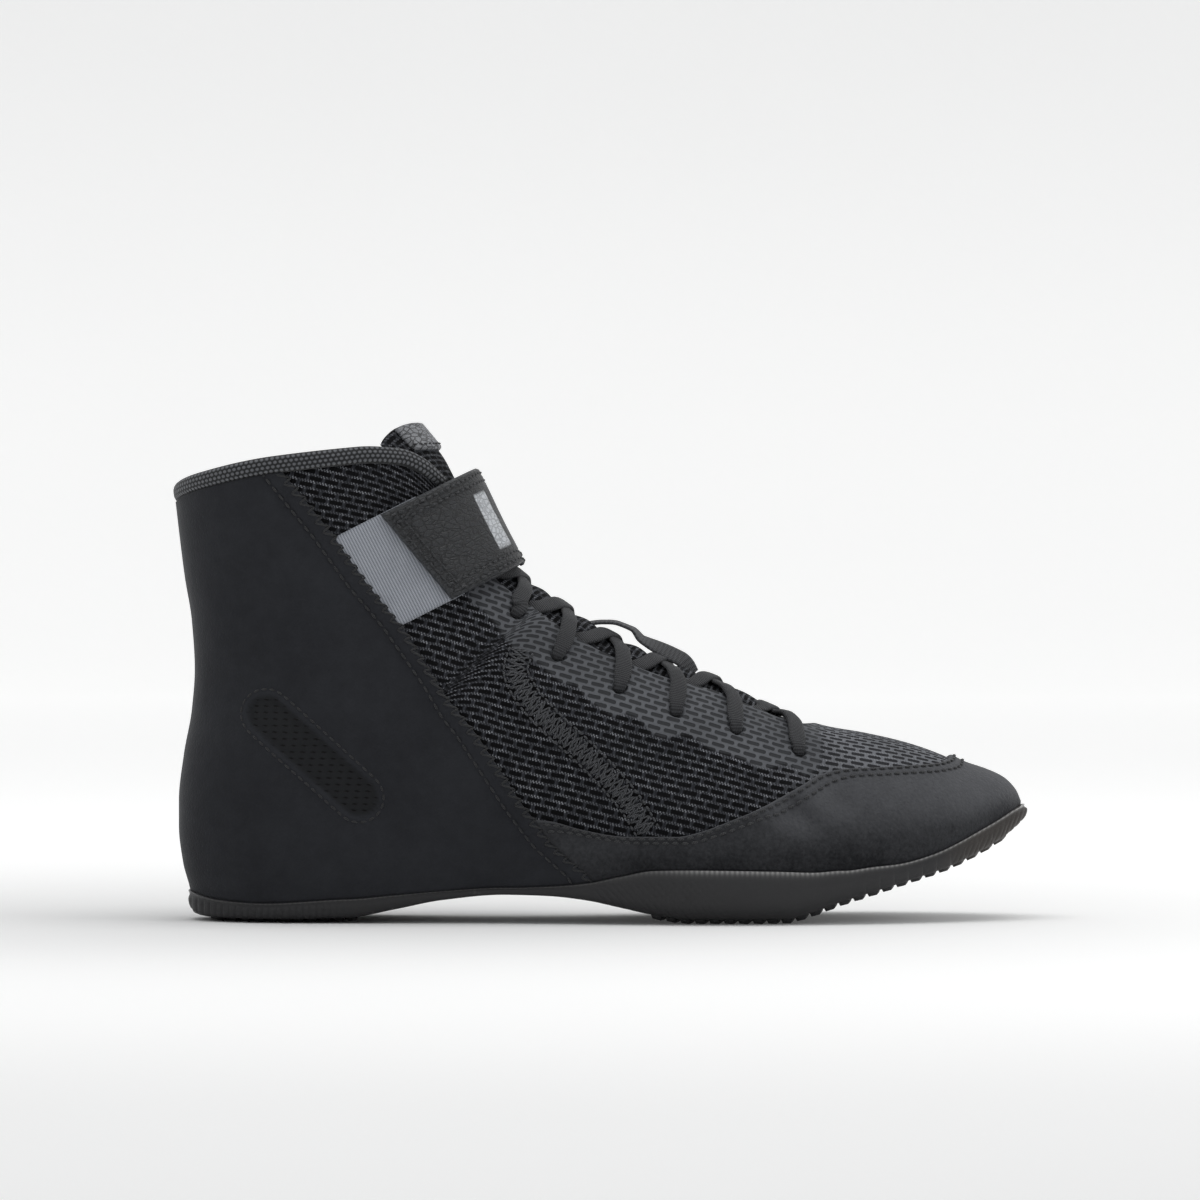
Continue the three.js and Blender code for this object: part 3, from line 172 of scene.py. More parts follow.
class Form:
    """The form of the foot that every piece of the shoe follows, in millimetres.

    Its sections lie in planes that turn about a level line ahead of the instep, from level at
    the collar to upright at the ball, and stay upright on to the toe. A section is known by its
    station: degrees below level, and past 90 the share of the way on to the toe.
    """

    length, height = 292.0, 149.0
    clear, wall, leather = 0.3, 2.2, 1.3
    throat_end = 109.0

    def __init__(self) -> None:
        """Prepares the curves and a fine table of sections."""
        size, tall = self.length, self.height
        self.pivot = (0.685 * size, 1.175 * tall)
        self.tip = CREST_ROWS[-1, 0] * size
        at = SOLE_ROWS[:, 0]
        self._sole = [Curve(at, SOLE_ROWS[:, k]) for k in range(1, 6)]
        self._middle = Curve(MIDDLE_ROWS[:, 0], MIDDLE_ROWS[:, 1])
        self._back = Curve(BACK_ROWS[:, 0], BACK_ROWS[:, 1])
        x, z = CREST_ROWS[:, 0] * size, CREST_ROWS[:, 1] * tall
        self.crest_reach = Curve(self.station_of(x, z), self.reach_of(x, z))
        self._fine = np.linspace(-8, 180, 3761)
        self._foot = self._find_foot(self._fine)
        rows = SECTION_ROWS
        self._half = [Curve(rows[:, 0], rows[:, 1] * rows[:, k]) for k in range(2, 6)]
        self._ridge = Curve(rows[:, 0], rows[:, 6])
        self._depth = Curve(rows[:, 0], self.foot_reach(rows[:, 0]))
        self._throat = Curve(THROAT_ROWS[:, 0], THROAT_ROWS[:, 1])
        self.collar_station = Curve(COLLAR_ROWS[:, 0], COLLAR_ROWS[:, 1])
        self.shift = np.array([-0.125 * size, -float(self.middle(0.125 * size, 0.0)), 0.0])
        self._tabulate()

    def underside(self, x: Graded) -> Array:
        """Height of the sole's underside at x."""
        at = np.asarray(x) / self.length
        return 9.0 * self._sole[0](at) + 34.0 * self._sole[1](at)

    def bed(self, x: Graded) -> Array:
        """Height of the sole's bed at x."""
        return self.underside(x) + 5.0 * self._sole[2](np.asarray(x) / self.length)

    def rim(self, x: Graded) -> Array:
        """Height of the sole's top edge at x."""
        at = np.asarray(x) / self.length
        return self.underside(x) + 18.0 * self._sole[3](at) + 39.6 * self._sole[4](at)

    def back(self, z: Graded) -> Array:
        """Rear outline of the form at height z."""
        return self.length * self._back(np.asarray(z) / self.height)

    def middle(self, x: Graded, z: Graded) -> Array:
        """Plan middle of the form: it follows the foot below and stands straight above."""
        rise = smooth(0.4 * self.height, 0.85 * self.height, z)
        return BALL * self._middle(np.asarray(x) / self.length) * (1 - rise)

    def station_of(self, x: Graded, z: Graded) -> Array:
        """Station of a point of the side view."""
        x, z = np.asarray(x, float), np.asarray(z, float)
        turn = np.degrees(np.arctan2(self.pivot[1] - z, self.pivot[0] - x))
        ahead = 90 + 90 * (x - self.pivot[0]) / (self.tip - self.pivot[0])
        return np.where(x <= self.pivot[0], turn, ahead)

    def reach_of(self, x: Graded, z: Graded) -> Array:
        """Distance of a point of the side view from the pivot, along its section."""
        x, z = np.asarray(x, float), np.asarray(z, float)
        down = self.pivot[1] - z
        return np.where(x <= self.pivot[0], np.hypot(self.pivot[0] - x, down), down)

    def ray(self, station: Graded, reach: Graded) -> tuple[Array, Array]:
        """Point of the side view at a station and a reach."""
        station = np.asarray(station, float)
        turn = np.radians(np.minimum(station, 90))
        ahead = np.maximum(station - 90, 0) / 90 * (self.tip - self.pivot[0])
        return self.pivot[0] + ahead - np.cos(turn) * reach, self.pivot[1] - np.sin(turn) * reach

    def _find_foot(self, station: Array) -> Array:
        """Reach at which each section ends on the back line or the bed, by halving."""
        near = self.crest_reach(station)
        far = near + self.length
        for _ in range(40):
            reach = (near + far) / 2
            x, z = self.ray(station, reach)
            inside = (x > self.back(z)) & (z > self.bed(x) + self.clear)
            near, far = np.where(inside, reach, near), np.where(inside, far, reach)
        return near

    def foot_reach(self, station: Graded) -> Array:
        """Reach of the end of a section."""
        return np.interp(station, self._fine, self._foot)

    def half_width(self, x: Graded, z: Graded, lift: Graded = 0.0) -> Array:
        """Half width of the form at a point of its side view.

        A cubic through four half widths by the share of depth, drawn in at the bed, times a
        rounded top, a rounded heel and a rounded toe.
        """
        station, reach = self.station_of(x, z), self.reach_of(x, z)
        crest = self.crest_reach(station) - lift
        down = np.clip((reach - crest) / (self._depth(station) - crest), 0, 1)
        widths = np.stack([half(station) for half in self._half])
        i = np.minimum((down * 3).astype(int), 2)
        u = down * 3 - i

        def width(k: Array) -> Array:
            """Width of row k at each point."""
            return np.take_along_axis(widths, np.clip(k, 0, 3)[None], 0)[0]

        here, after = width(i), width(i + 1)
        bend = u * (1 - u) / 2 * ((1 - u) * (here - width(i - 1)) - u * (width(i + 2) - after))
        full = here * (1 - u) + after * u + bend
        top = quarter((reach - crest) / (self._ridge(station) * self.height), 2.1)
        heel = quarter((x - self.back(z)) / 42.0, 2.15)
        toe = quarter((self.tip - x) / 60.0, 2.15)
        low = np.maximum(0, 1 - (z - self.bed(x)) / 15.0)
        return (full - 2.6 * low * low) * top * heel * toe

    def throat_half(self, station: Graded) -> Array:
        """Half opening of the throat, closing round at its front end."""
        station = np.asarray(station, float)
        open_half = BALL * self._throat(station) * quarter((self.throat_end - station) / 7, 2.0)
        return np.where(station >= self.throat_end, 0.0, open_half)

    def _tabulate(self) -> None:
        """Fine table of sections: side view place and half width at even shares of length."""
        self._stations = np.linspace(-8, 180, 1505)
        turn = np.linspace(0, 1, 201)
        down = (1 - np.cos(np.pi * turn)) / 2
        crest = self.crest_reach(self._stations)[:, None]
        foot = self.foot_reach(self._stations)[:, None]
        x, z = self.ray(self._stations[:, None], crest + (foot - crest) * down)
        half = self.half_width(x, z)
        line = np.stack([x, half, z], -1)
        steps = np.linalg.norm(np.diff(line, axis=1), axis=2)
        run = np.concatenate([np.zeros((len(x), 1)), np.cumsum(steps, 1)], 1)
        self._run = run[:, -1]
        self._share = run / run[:, -1:]
        even = np.linspace(0, 1, 241)
        table = np.empty((len(x), 241, 3))
        for i in range(len(x)):
            for k in range(3):
                table[i, :, k] = np.interp(even, self._share[i], line[i, :, k])
        self._table = table
        goal = self.throat_half(self._stations)
        inside = table[:, :, 1] < goal[:, None]
        last = np.argmin(inside, axis=1)
        before = np.maximum(last - 1, 0)
        rows = np.arange(len(x))
        low, high = table[rows, before, 1], table[rows, last, 1]
        part = np.where(high > low, (goal - low) / np.where(high > low, high - low, 1), 0)
        self._open = np.where(goal > 0, (before + np.clip(part, 0, 1)) / 240, 0)

    def _blend(self, table: Array, station: Array, column: Array) -> Array:
        """Bilinear reading of a table by station and column."""
        row = np.clip((station + 8) / 188, 0, 1) * (len(self._stations) - 1)
        i = np.minimum(row.astype(int), table.shape[0] - 2)
        j = np.minimum(np.maximum(column, 0).astype(int), table.shape[1] - 2)
        p, q = row - i, np.clip(column, 0, table.shape[1] - 1) - j
        if table.ndim == 3:
            p, q = p[..., None], q[..., None]
        first = table[i, j] * (1 - q) + table[i, j + 1] * q
        second = table[i + 1, j] * (1 - q) + table[i + 1, j + 1] * q
        return first * (1 - p) + second * p

    def surface(self, station: Graded, share: Graded, side: Graded) -> Array:
        """Points of the form by station and share of the section's length.

        Args:
            station: stations.
            share: 0 at the top of the section, 1 at its end.
            side: -1 outer, 1 inner.

        Returns:
            Points, the last axis being x, y, z.
        """
        station, share = np.broadcast_arrays(np.asarray(station, float), share)
        found = self._blend(self._table, station, share * 240)
        x, half, z = found[..., 0], found[..., 1], found[..., 2]
        return np.stack([x, self.middle(x, z) + side * half, z], -1)

    def throat_share(self, station: Graded) -> Array:
        """Share of a section that the throat takes."""
        return np.interp(station, self._stations, self._open)

    def share_of(self, x: Graded, z: Graded) -> Array:
        """Share of the section's length at a point of the side view."""
        station = self.station_of(x, z)
        crest, foot = self.crest_reach(station), self.foot_reach(station)
        down = np.clip((self.reach_of(x, z) - crest) / (foot - crest), 0, 1)
        return self._blend(self._share, station, np.arccos(1 - 2 * down) / np.pi * 200)

    def side_point(self, x: Graded, z: Graded, side: int) -> Array:
        """Point of the form over a point of the side view."""
        x, z = np.broadcast_arrays(np.asarray(x, float), np.asarray(z, float))
        return np.stack([x, self.middle(x, z) + side * self.half_width(x, z), z], -1)

    def side_normal(self, x: Graded, z: Graded, side: int) -> Array:
        """Outward direction there, from differences along and up."""
        along = self.side_point(x + 0.4, z, side) - self.side_point(x - 0.4, z, side)
        up = self.side_point(x, z + 0.4, side) - self.side_point(x, z - 0.4, side)
        return unit(np.cross(up, along) * side)

    def across_point(self, station: Graded, across: Graded) -> Array:
        """Point of the upper part of a section at a distance across from the middle."""
        station, across = np.broadcast_arrays(np.asarray(station, float), across)
        crest, foot = self.crest_reach(station), self.foot_reach(station)
        low, high = np.zeros(station.shape), np.full(station.shape, 0.45)
        for _ in range(32):
            down = (low + high) / 2
            x, z = self.ray(station, crest + (foot - crest) * down)
            inside = self.half_width(x, z) < np.abs(across)
            low, high = np.where(inside, down, low), np.where(inside, high, down)
        x, z = self.ray(station, crest + (foot - crest) * low)
        return np.stack([x, self.middle(x, z) + across, z], -1)

    def lifted(self, station: Graded, across: Graded, height: Graded) -> Array:
        """Point at a height over the form, by station and distance across."""
        at = self.across_point(station, across)
        along = self.across_point(station + 0.4, across) - self.across_point(station - 0.4, across)
        over = self.across_point(station, across + 0.4) - self.across_point(station, across - 0.4)
        return at + unit(np.cross(along, over)) * np.asarray(height)[..., None]


def unit(v: Array) -> Array:
    """Directions of unit length."""
    return v / np.maximum(np.linalg.norm(v, axis=-1, keepdims=True), 1e-9)


# ---------------------------------------------------------------- meshes


@dataclass
class Sheet:
    """Triangles with their own plan of the cloth: points, corners, uv in mm and gradings."""

    points: Array
    corners: Array
    uv: Array
    marks: dict[str, Array] = field(default_factory=dict)

    @staticmethod
    def grid(points: Array, uv: Array | None = None, flip: bool = False,
             marks: dict[str, Array] | None = None) -> "Sheet":
        """Sheet from a grid of points.

        Args:
            points: rows by columns by 3.
            uv: rows by columns by 2, in mm.
            flip: turns the faces over.
            marks: named gradings, rows by columns.

        Returns:
            The sheet, each cell two triangles.
        """
        rows, columns = points.shape[:2]
        index = np.arange(rows * columns).reshape(rows, columns)
        a, b = index[:-1, :-1].ravel(), index[:-1, 1:].ravel()
        c, d = index[1:, 1:].ravel(), index[1:, :-1].ravel()
        corners = np.concatenate([np.stack([a, b, c], 1), np.stack([a, c, d], 1)])
        if flip:
            corners = corners[:, ::-1]
        if uv is None:
            uv = points[..., [0, 2]]
        marks = {key: np.asarray(value, float).ravel() for key, value in (marks or {}).items()}
        return Sheet(points.reshape(-1, 3), corners, uv.reshape(-1, 2), marks)

    @staticmethod
    def facing(points: Array, uv: Array, marks: dict[str, Array], axis: int,
               sign: float = 1.0) -> "Sheet":
        """Grid sheet whose middle looks up an axis, or down it where sign is negative."""
        sheet = Sheet.grid(points, uv, False, marks)
        middle = points.shape[0] // 2 * points.shape[1] + points.shape[1] // 2
        if sheet.normals()[middle, axis] * sign < 0:
            sheet = Sheet.grid(points, uv, True, marks)
        return sheet

    @staticmethod
    def join(*sheets: "Sheet", weld: float = 0.0) -> "Sheet":
        """One sheet from several; points closer than weld become one, and faces that then lie back
        to back go."""
        base = np.cumsum([0] + [len(s.points) for s in sheets[:-1]])
        points = np.concatenate([s.points for s in sheets])
        corners = np.concatenate([s.corners + b for s, b in zip(sheets, base)])
        uv = np.concatenate([s.uv for s in sheets])
        keys = set().union(*[s.marks for s in sheets])
        marks = {k: np.concatenate([s.marks.get(k, np.zeros(len(s.points))) for s in sheets])
                 for k in keys}
        if weld > 0:
            _, first, back = np.unique(np.round(points / weld).astype(np.int64), axis=0,
                                       return_index=True, return_inverse=True)
            corners = back.reshape(-1)[corners]
            points, uv = points[first], uv[first]
            marks = {k: v[first] for k, v in marks.items()}
            good = ((corners[:, 0] != corners[:, 1]) & (corners[:, 1] != corners[:, 2])
                    & (corners[:, 2] != corners[:, 0]))
            corners = corners[good]
            _, same, count = np.unique(np.sort(corners, 1), axis=0, return_inverse=True,
                                       return_counts=True)
            corners = corners[count[same.reshape(-1)] == 1]
        return Sheet(points, corners, uv, marks)

    def normals(self) -> Array:
        """Direction at each point: the sum of its triangles' area vectors, made unit."""
        p = self.points[self.corners]
        area = np.cross(p[:, 1] - p[:, 0], p[:, 2] - p[:, 0])
        total = np.zeros_like(self.points)
        for k in range(3):
            for axis in range(3):
                total[:, axis] += np.bincount(self.corners[:, k], area[:, axis], len(total))
        return unit(total)

    def thick(self, low: Graded, high: Graded) -> "Sheet":
        """Closed solid between two offsets of the sheet along its normals."""
        n = len(self.points)
        normals = self.normals()
        points = np.concatenate([
            self.points + normals * np.broadcast_to(high, n)[:, None],
            self.points + normals * np.broadcast_to(low, n)[:, None]])
        c = self.corners
        edges = np.concatenate([c[:, [0, 1]], c[:, [1, 2]], c[:, [2, 0]]])
        forward = edges[:, 0] * n + edges[:, 1]
        lone = edges[~np.isin(forward, edges[:, 1] * n + edges[:, 0])]
        i, j = lone[:, 0], lone[:, 1]
        corners = np.concatenate([
            c, c[:, ::-1] + n,
            np.stack([j, i, i + n], 1), np.stack([j, i + n, j + n], 1)])
        marks = {k: np.concatenate([v, v]) for k, v in self.marks.items()}
        marks["inside"] = np.concatenate([np.zeros(n), np.ones(n)])
        return Sheet(points, corners, np.concatenate([self.uv, self.uv]), marks)


class Workshop:
    """Turns sheets into pieces of the scene that ride on the frame."""

    def __init__(self, form: Form) -> None:
        """Keeps the form for its shift to the frame's origin."""
        self.form = form

    def piece(self, name: str, sheet: Sheet, finish: bpy.types.Material, slot: str,
              nodes: Sequence[str] = ()) -> bpy.types.Object:
        """Makes an object from a sheet, at the origin, unturned and unscaled.

        Args:
            name: the piece's name.
            sheet: its surface in millimetres.
            finish: its material.
            slot: not used.
            nodes: solids that it stands for.
        """
        mesh = bpy.data.meshes.new(name)
        points = (sheet.points + self.form.shift) * 0.001
        mesh.vertices.add(len(points))
        mesh.vertices.foreach_set("co", points.astype(np.float32).ravel())
        flat = sheet.corners.astype(np.int32).ravel()
        mesh.loops.add(len(flat))
        mesh.loops.foreach_set("vertex_index", flat)
        mesh.polygons.add(len(flat) // 3)
        mesh.polygons.foreach_set("loop_start", np.arange(0, len(flat), 3, dtype=np.int32))
        mesh.update(calc_edges=True)
        layer = mesh.uv_layers.new(name="cloth")
        layer.data.foreach_set("uv", sheet.uv[flat].astype(np.float32).ravel())
        for key, values in sheet.marks.items():
            mark = mesh.attributes.new(key, "FLOAT", "POINT")
            mark.data.foreach_set("value", values.astype(np.float32))
        mesh.polygons.foreach_set("use_smooth", np.ones(len(mesh.polygons), bool))
        mesh.materials.append(finish)
        mesh.validate()
        thing = bpy.data.objects.new(name, mesh)
        bpy.context.scene.collection.objects.link(thing)
        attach(thing, "root")
        if nodes:
            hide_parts(*nodes)
        LOG.info("%s: %d triangles", name, len(mesh.polygons))
        return thing


def along(path: Array, step: float, start: float = 0.0) -> tuple[Array, Array]:
    """Even places along a path.

    Args:
        path: points.
        step: distance between places.
        start: distance of the first.

    Returns:
        Fractional indices of the places and the whole length.
    """
    run = np.concatenate([[0], np.cumsum(np.linalg.norm(np.diff(path, axis=0), axis=1))])
    places = np.arange(start, run[-1], step)
    return np.interp(places, run, np.arange(len(run))), run


def pick(values: Array, index: Array) -> Array:
    """Rows of an array at fractional indices."""
    grid = np.arange(len(values))
    return np.stack([np.interp(index, grid, values[:, k]) for k in range(values.shape[1])], 1)


def threads(a: Array, b: Array, normal: Array, radius: float, sink: float = 0.35) -> Sheet:
    """Stitches between pairs of points.

    Each is a low ellipsoid: its length runs from a to b, its height along the normal, and both
    ends dip into the cloth.

    Args:
        a: first ends.
        b: second ends.
        normal: directions out of the cloth.
        radius: half thickness.
        sink: share of the radius that lies in the cloth.

    Returns:
        All the stitches in one sheet.
    """
    rings, around = 5, 6
    lat = np.linspace(0, np.pi, rings)
    lon = np.linspace(0, 2 * np.pi, around, endpoint=False)
    base = np.stack([
        np.repeat(-np.cos(lat), around),
        np.outer(np.sin(lat) ** 0.7, np.cos(lon)).ravel(),
        np.outer(np.sin(lat) ** 0.7, np.sin(lon)).ravel()], 1)
    run = b - a
    size = np.linalg.norm(run, axis=1)[:, None]
    forward = run / size
    up = unit(normal - forward * np.sum(normal * forward, 1, keepdims=True))
    aside = np.cross(forward, up)
    centre = (a + b) / 2 + up * radius * (1 - sink)
    points = (centre[:, None] + base[None, :, :1] * (forward * size / 2)[:, None]
              + base[None, :, 1:2] * (aside * radius)[:, None]
              + base[None, :, 2:] * (up * radius)[:, None])
    index = np.arange(rings * around).reshape(rings, around)
    p, q = index[:-1], index[1:]
    p1, q1 = np.roll(p, -1, 1), np.roll(q, -1, 1)
    cell = np.concatenate([
        np.stack([p.ravel(), p1.ravel(), q1.ravel()], 1),
        np.stack([p.ravel(), q1.ravel(), q.ravel()], 1)])
    cell = cell[:, ::-1]
    count = len(a)
    corners = (cell[None] + (np.arange(count) * len(base))[:, None, None]).reshape(-1, 3)
    uv = np.tile(np.stack([base[:, 0], base[:, 1]], 1), (count, 1))
    return Sheet.join(Sheet(points.reshape(-1, 3), corners, uv), weld=1e-4)


def running_stitch(path: Array, normal: Array, length: float = 2.4, gap: float = 0.9,
                   radius: float = 0.42) -> Sheet:
    """Row of stitches end to end along a path with small gaps."""
    index, run = along(path, length + gap, 0.5)
    ends = np.interp(np.interp(index, np.arange(len(run)), run) + length, run,
                     np.arange(len(run)))
    return threads(pick(path, index), pick(path, ends), pick(normal, index), radius)


def zigzag(first: Array, second: Array, normal: Array, step: float, radius: float = 0.4) -> Sheet:
    """Stitches that cross back and forth between two lines of equal point count."""
    index, _ = along((first + second) / 2, step)
    near, far = pick(first, index), pick(second, index)
    odd = (np.arange(len(index)) % 2 == 1)[:, None]
    ends = np.where(odd, near, far)
    return threads(ends[:-1], ends[1:], pick(normal, index)[:-1], radius)


def ribbon(centre: Array, up: Array, width: Graded, thick: Graded, corner: float = 0.7,
           around: int = 14) -> Sheet:
    """Flat band along a line, closed at both ends.

    Its cross-section is a superellipse, width across by thick along up.

    Args:
        centre: middle line.
        up: directions out of the band's face.
        width: widths along the line.
        thick: thicknesses along the line.
        corner: power of the cross-section, smaller is squarer.
        around: points round the cross-section.

    Returns:
        The band; uv runs along and across it in mm.
    """
    n = len(centre)
    forward = unit(np.gradient(centre, axis=0))
    up = unit(up - forward * np.sum(up * forward, 1, keepdims=True))
    aside = np.cross(forward, up)
    turn = np.linspace(0, 2 * np.pi, around, endpoint=False)
    c = np.sign(np.cos(turn)) * np.abs(np.cos(turn)) ** corner
    s = np.sign(np.sin(turn)) * np.abs(np.sin(turn)) ** corner
    w = np.broadcast_to(width, n)[:, None, None] / 2
    t = np.broadcast_to(thick, n)[:, None, None] / 2
    rings = (centre[:, None] + aside[:, None] * c[None, :, None] * w
             + up[:, None] * s[None, :, None] * t)
    run = np.concatenate([[0], np.cumsum(np.linalg.norm(np.diff(centre, axis=0), axis=1))])
    across = c[None] * w[..., 0]
    uv = np.stack([np.broadcast_to(run[:, None], across.shape), across], -1)
    closed = np.concatenate([rings, rings[:, :1]], 1)
    uv = np.concatenate([uv, uv[:, :1]], 1)
    tube = Sheet.grid(closed, uv, flip=True)
    ends = []
    for k, turned in ((0, False), (n - 1, True)):
        middle = np.broadcast_to(centre[k], closed[k].shape)
        fan = np.stack([closed[k], middle])
        ends.append(Sheet.grid(fan, np.stack([uv[k], uv[k]]), flip=turned))
    return Sheet.join(tube, *ends, weld=1e-3)


def spline(points: Sequence[Sequence[float]], count: int) -> Array:
    """Smooth even line through points: a monotone cubic for each value over the run."""
    points = np.asarray(points, float)
    run = np.concatenate([[0], np.cumsum(np.linalg.norm(np.diff(points, axis=0), axis=1))])
    at = np.linspace(0, run[-1], count)
    return np.stack([Curve(run, points[:, k])(at) for k in range(points.shape[1])], 1)


# ---------------------------------------------------------------- shader graphs


class Term:
    """A number in a shader graph that can stand in an expression."""

    def __init__(self, graph: "Graph", socket: Any) -> None:
        """Keeps the socket and its graph."""
        self.graph, self.socket = graph, socket

    def __add__(self, other: Any) -> "Term":
        """Sum."""
        return self.graph.math("ADD", self, other)

    def __sub__(self, other: Any) -> "Term":
        """Difference."""
        return self.graph.math("SUBTRACT", self, other)

    def __rsub__(self, other: Any) -> "Term":
        """Difference from a number."""
        return self.graph.math("SUBTRACT", other, self)

    def __mul__(self, other: Any) -> "Term":
        """Product."""
        return self.graph.math("MULTIPLY", self, other)

    def __truediv__(self, other: Any) -> "Term":
        """Quotient."""
        return self.graph.math("DIVIDE", self, other)

    def __pow__(self, other: Any) -> "Term":
        """Power."""
        return self.graph.math("POWER", self, other)

    __radd__, __rmul__ = __add__, __mul__

    def fract(self) -> "Term":
        """Part after the point."""
        return self.graph.math("FRACT", self)

    def floor(self) -> "Term":
        """Whole part."""
        return self.graph.math("FLOOR", self)

    def abs(self) -> "Term":
        """Size without sign."""
        return self.graph.math("ABSOLUTE", self)

    def sin(self) -> "Term":
        """Sine of an angle in radians."""
        return self.graph.math("SINE", self)

    def top(self, other: Any) -> "Term":
        """The larger of two."""
        return self.graph.math("MAXIMUM", self, other)

    def step(self, low: float, high: float) -> "Term":
        """Smooth step from 0 at low to 1 at high."""
        out = self.graph.node("ShaderNodeMapRange", {"interpolation_type": "SMOOTHSTEP"},
                              {"Value": self, "From Min": low, "From Max": high})
        return Term(self.graph, out.outputs["Result"])


class Graph:
    """A material under construction."""

    def __init__(self, name: str) -> None:
        """Starts a material with its one shader."""
        self.material = bpy.data.materials.new(name)
        self.material.use_nodes = True
        self.tree = self.material.node_tree
        self.tree.nodes.clear()
        self.shader = self.node("ShaderNodeBsdfPrincipled", {}, {})
        out = self.node("ShaderNodeOutputMaterial", {}, {})
        self.tree.links.new(self.shader.outputs["BSDF"], out.inputs["Surface"])

    def node(self, kind: str, settings: dict[str, Any], inputs: dict[Any, Any]) -> Any:
        """Adds a node.

        Args:
            kind: the node's type.
            settings: its properties, set first.
            inputs: values or links of its sockets by name or number.

        Returns:
            The node.
        """
        made = self.tree.nodes.new(kind)
        for key, value in settings.items():
            setattr(made, key, value)
        for key, value in inputs.items():
            self.put(made.inputs[key], value)
        return made

    def put(self, socket: Any, value: Any) -> None:
        """Links or sets one socket."""
        if isinstance(value, Term):
            value = value.socket
        if isinstance(value, bpy.types.NodeSocket):
            self.tree.links.new(value, socket)
        elif isinstance(value, tuple) and socket.type == "RGBA" and len(value) == 3:
            socket.default_value = (*value, 1.0)
        else:
            socket.default_value = value

    def math(self, kind: str, a: Any, b: Any = 0.0) -> Term:
        """Math node of one or two values."""
        made = self.node("ShaderNodeMath", {"operation": kind}, {0: a, 1: b})
        return Term(self, made.outputs[0])

    def place(self) -> Any:
        """Object coordinates, in metres."""
        return self.node("ShaderNodeTexCoord", {}, {}).outputs["Object"]

    def parts(self, vector: Any) -> tuple[Term, ...]:
        """The three numbers of a vector."""
        split = self.node("ShaderNodeSeparateXYZ", {}, {0: vector})
        return tuple(Term(self, out) for out in split.outputs)

    def cloth(self) -> tuple[Term, Term]:
        """The piece's own plan, in millimetres along and across."""
        return self.parts(self.node("ShaderNodeUVMap", {"uv_map": "cloth"}, {}).outputs[0])[:2]

    def mark(self, name: str) -> Term:
        """A grading that the mesh carries."""
        made = self.node("ShaderNodeAttribute", {"attribute_name": name}, {})
        return Term(self, made.outputs["Fac"])

    def joined(self, x: Any, y: Any, z: Any = 0.0) -> Any:
        """Vector from three numbers."""
        return self.node("ShaderNodeCombineXYZ", {}, {0: x, 1: y, 2: z}).outputs[0]

    def noise(self, scale: float, detail: float = 3.0, rough: float = 0.55,
              where: Any = None) -> Term:
        """Cloudy noise; scale is cells per metre on Object coordinates."""
        made = self.node("ShaderNodeTexNoise", {}, {
            "Vector": where if where is not None else self.place(), "Scale": scale,
            "Detail": detail, "Roughness": rough})
        return Term(self, made.outputs["Fac"])

    def cells(self, scale: float, feature: str = "F1", where: Any = None) -> Term:
        """Distance within scattered cells."""
        made = self.node("ShaderNodeTexVoronoi", {"feature": feature}, {
            "Vector": where if where is not None else self.place(), "Scale": scale})
        return Term(self, made.outputs["Distance"])

    def mix(self, part: Any, first: Any, second: Any) -> Any:
        """Colour between two by a share."""
        made = self.node("ShaderNodeMix", {"data_type": "RGBA"}, {0: part, 6: first, 7: second})
        return made.outputs[2]

    def relief(self, height: Term, depth_mm: float) -> Any:
        """Bump from a height of 0 to 1 that stands for a depth in millimetres."""
        return self.node("ShaderNodeBump", {}, {
            "Height": height, "Distance": depth_mm * 0.001, "Strength": 1.0}).outputs["Normal"]

    def finish(self, colour: Any, rough: Any, normal: Any = None,
               **fixed: Any) -> bpy.types.Material:
        """Feeds the shader.

        Args:
            colour: colour or link.
            rough: number or link.
            normal: link.
            fixed: numbers of further sockets, with underscores for blanks.

        Returns:
            The material.
        """
        self.put(self.shader.inputs["Base Color"], colour)
        self.put(self.shader.inputs["Roughness"], rough)
        if normal is not None:
            self.put(self.shader.inputs["Normal"], normal)
        for key, value in fixed.items():
            self.put(self.shader.inputs[key.replace("_", " ")], value)
        return self.material


def tone(r: int, g: int, b: int) -> tuple[float, float, float]:
    """Linear colour from display values of 0 to 255."""
    def line(v: float) -> float:
        """One channel."""
        v /= 255
        return v / 12.92 if v <= 0.04045 else ((v + 0.055) / 1.055) ** 2.4
    return line(r), line(g), line(b)


# ---------------------------------------------------------------- finishes


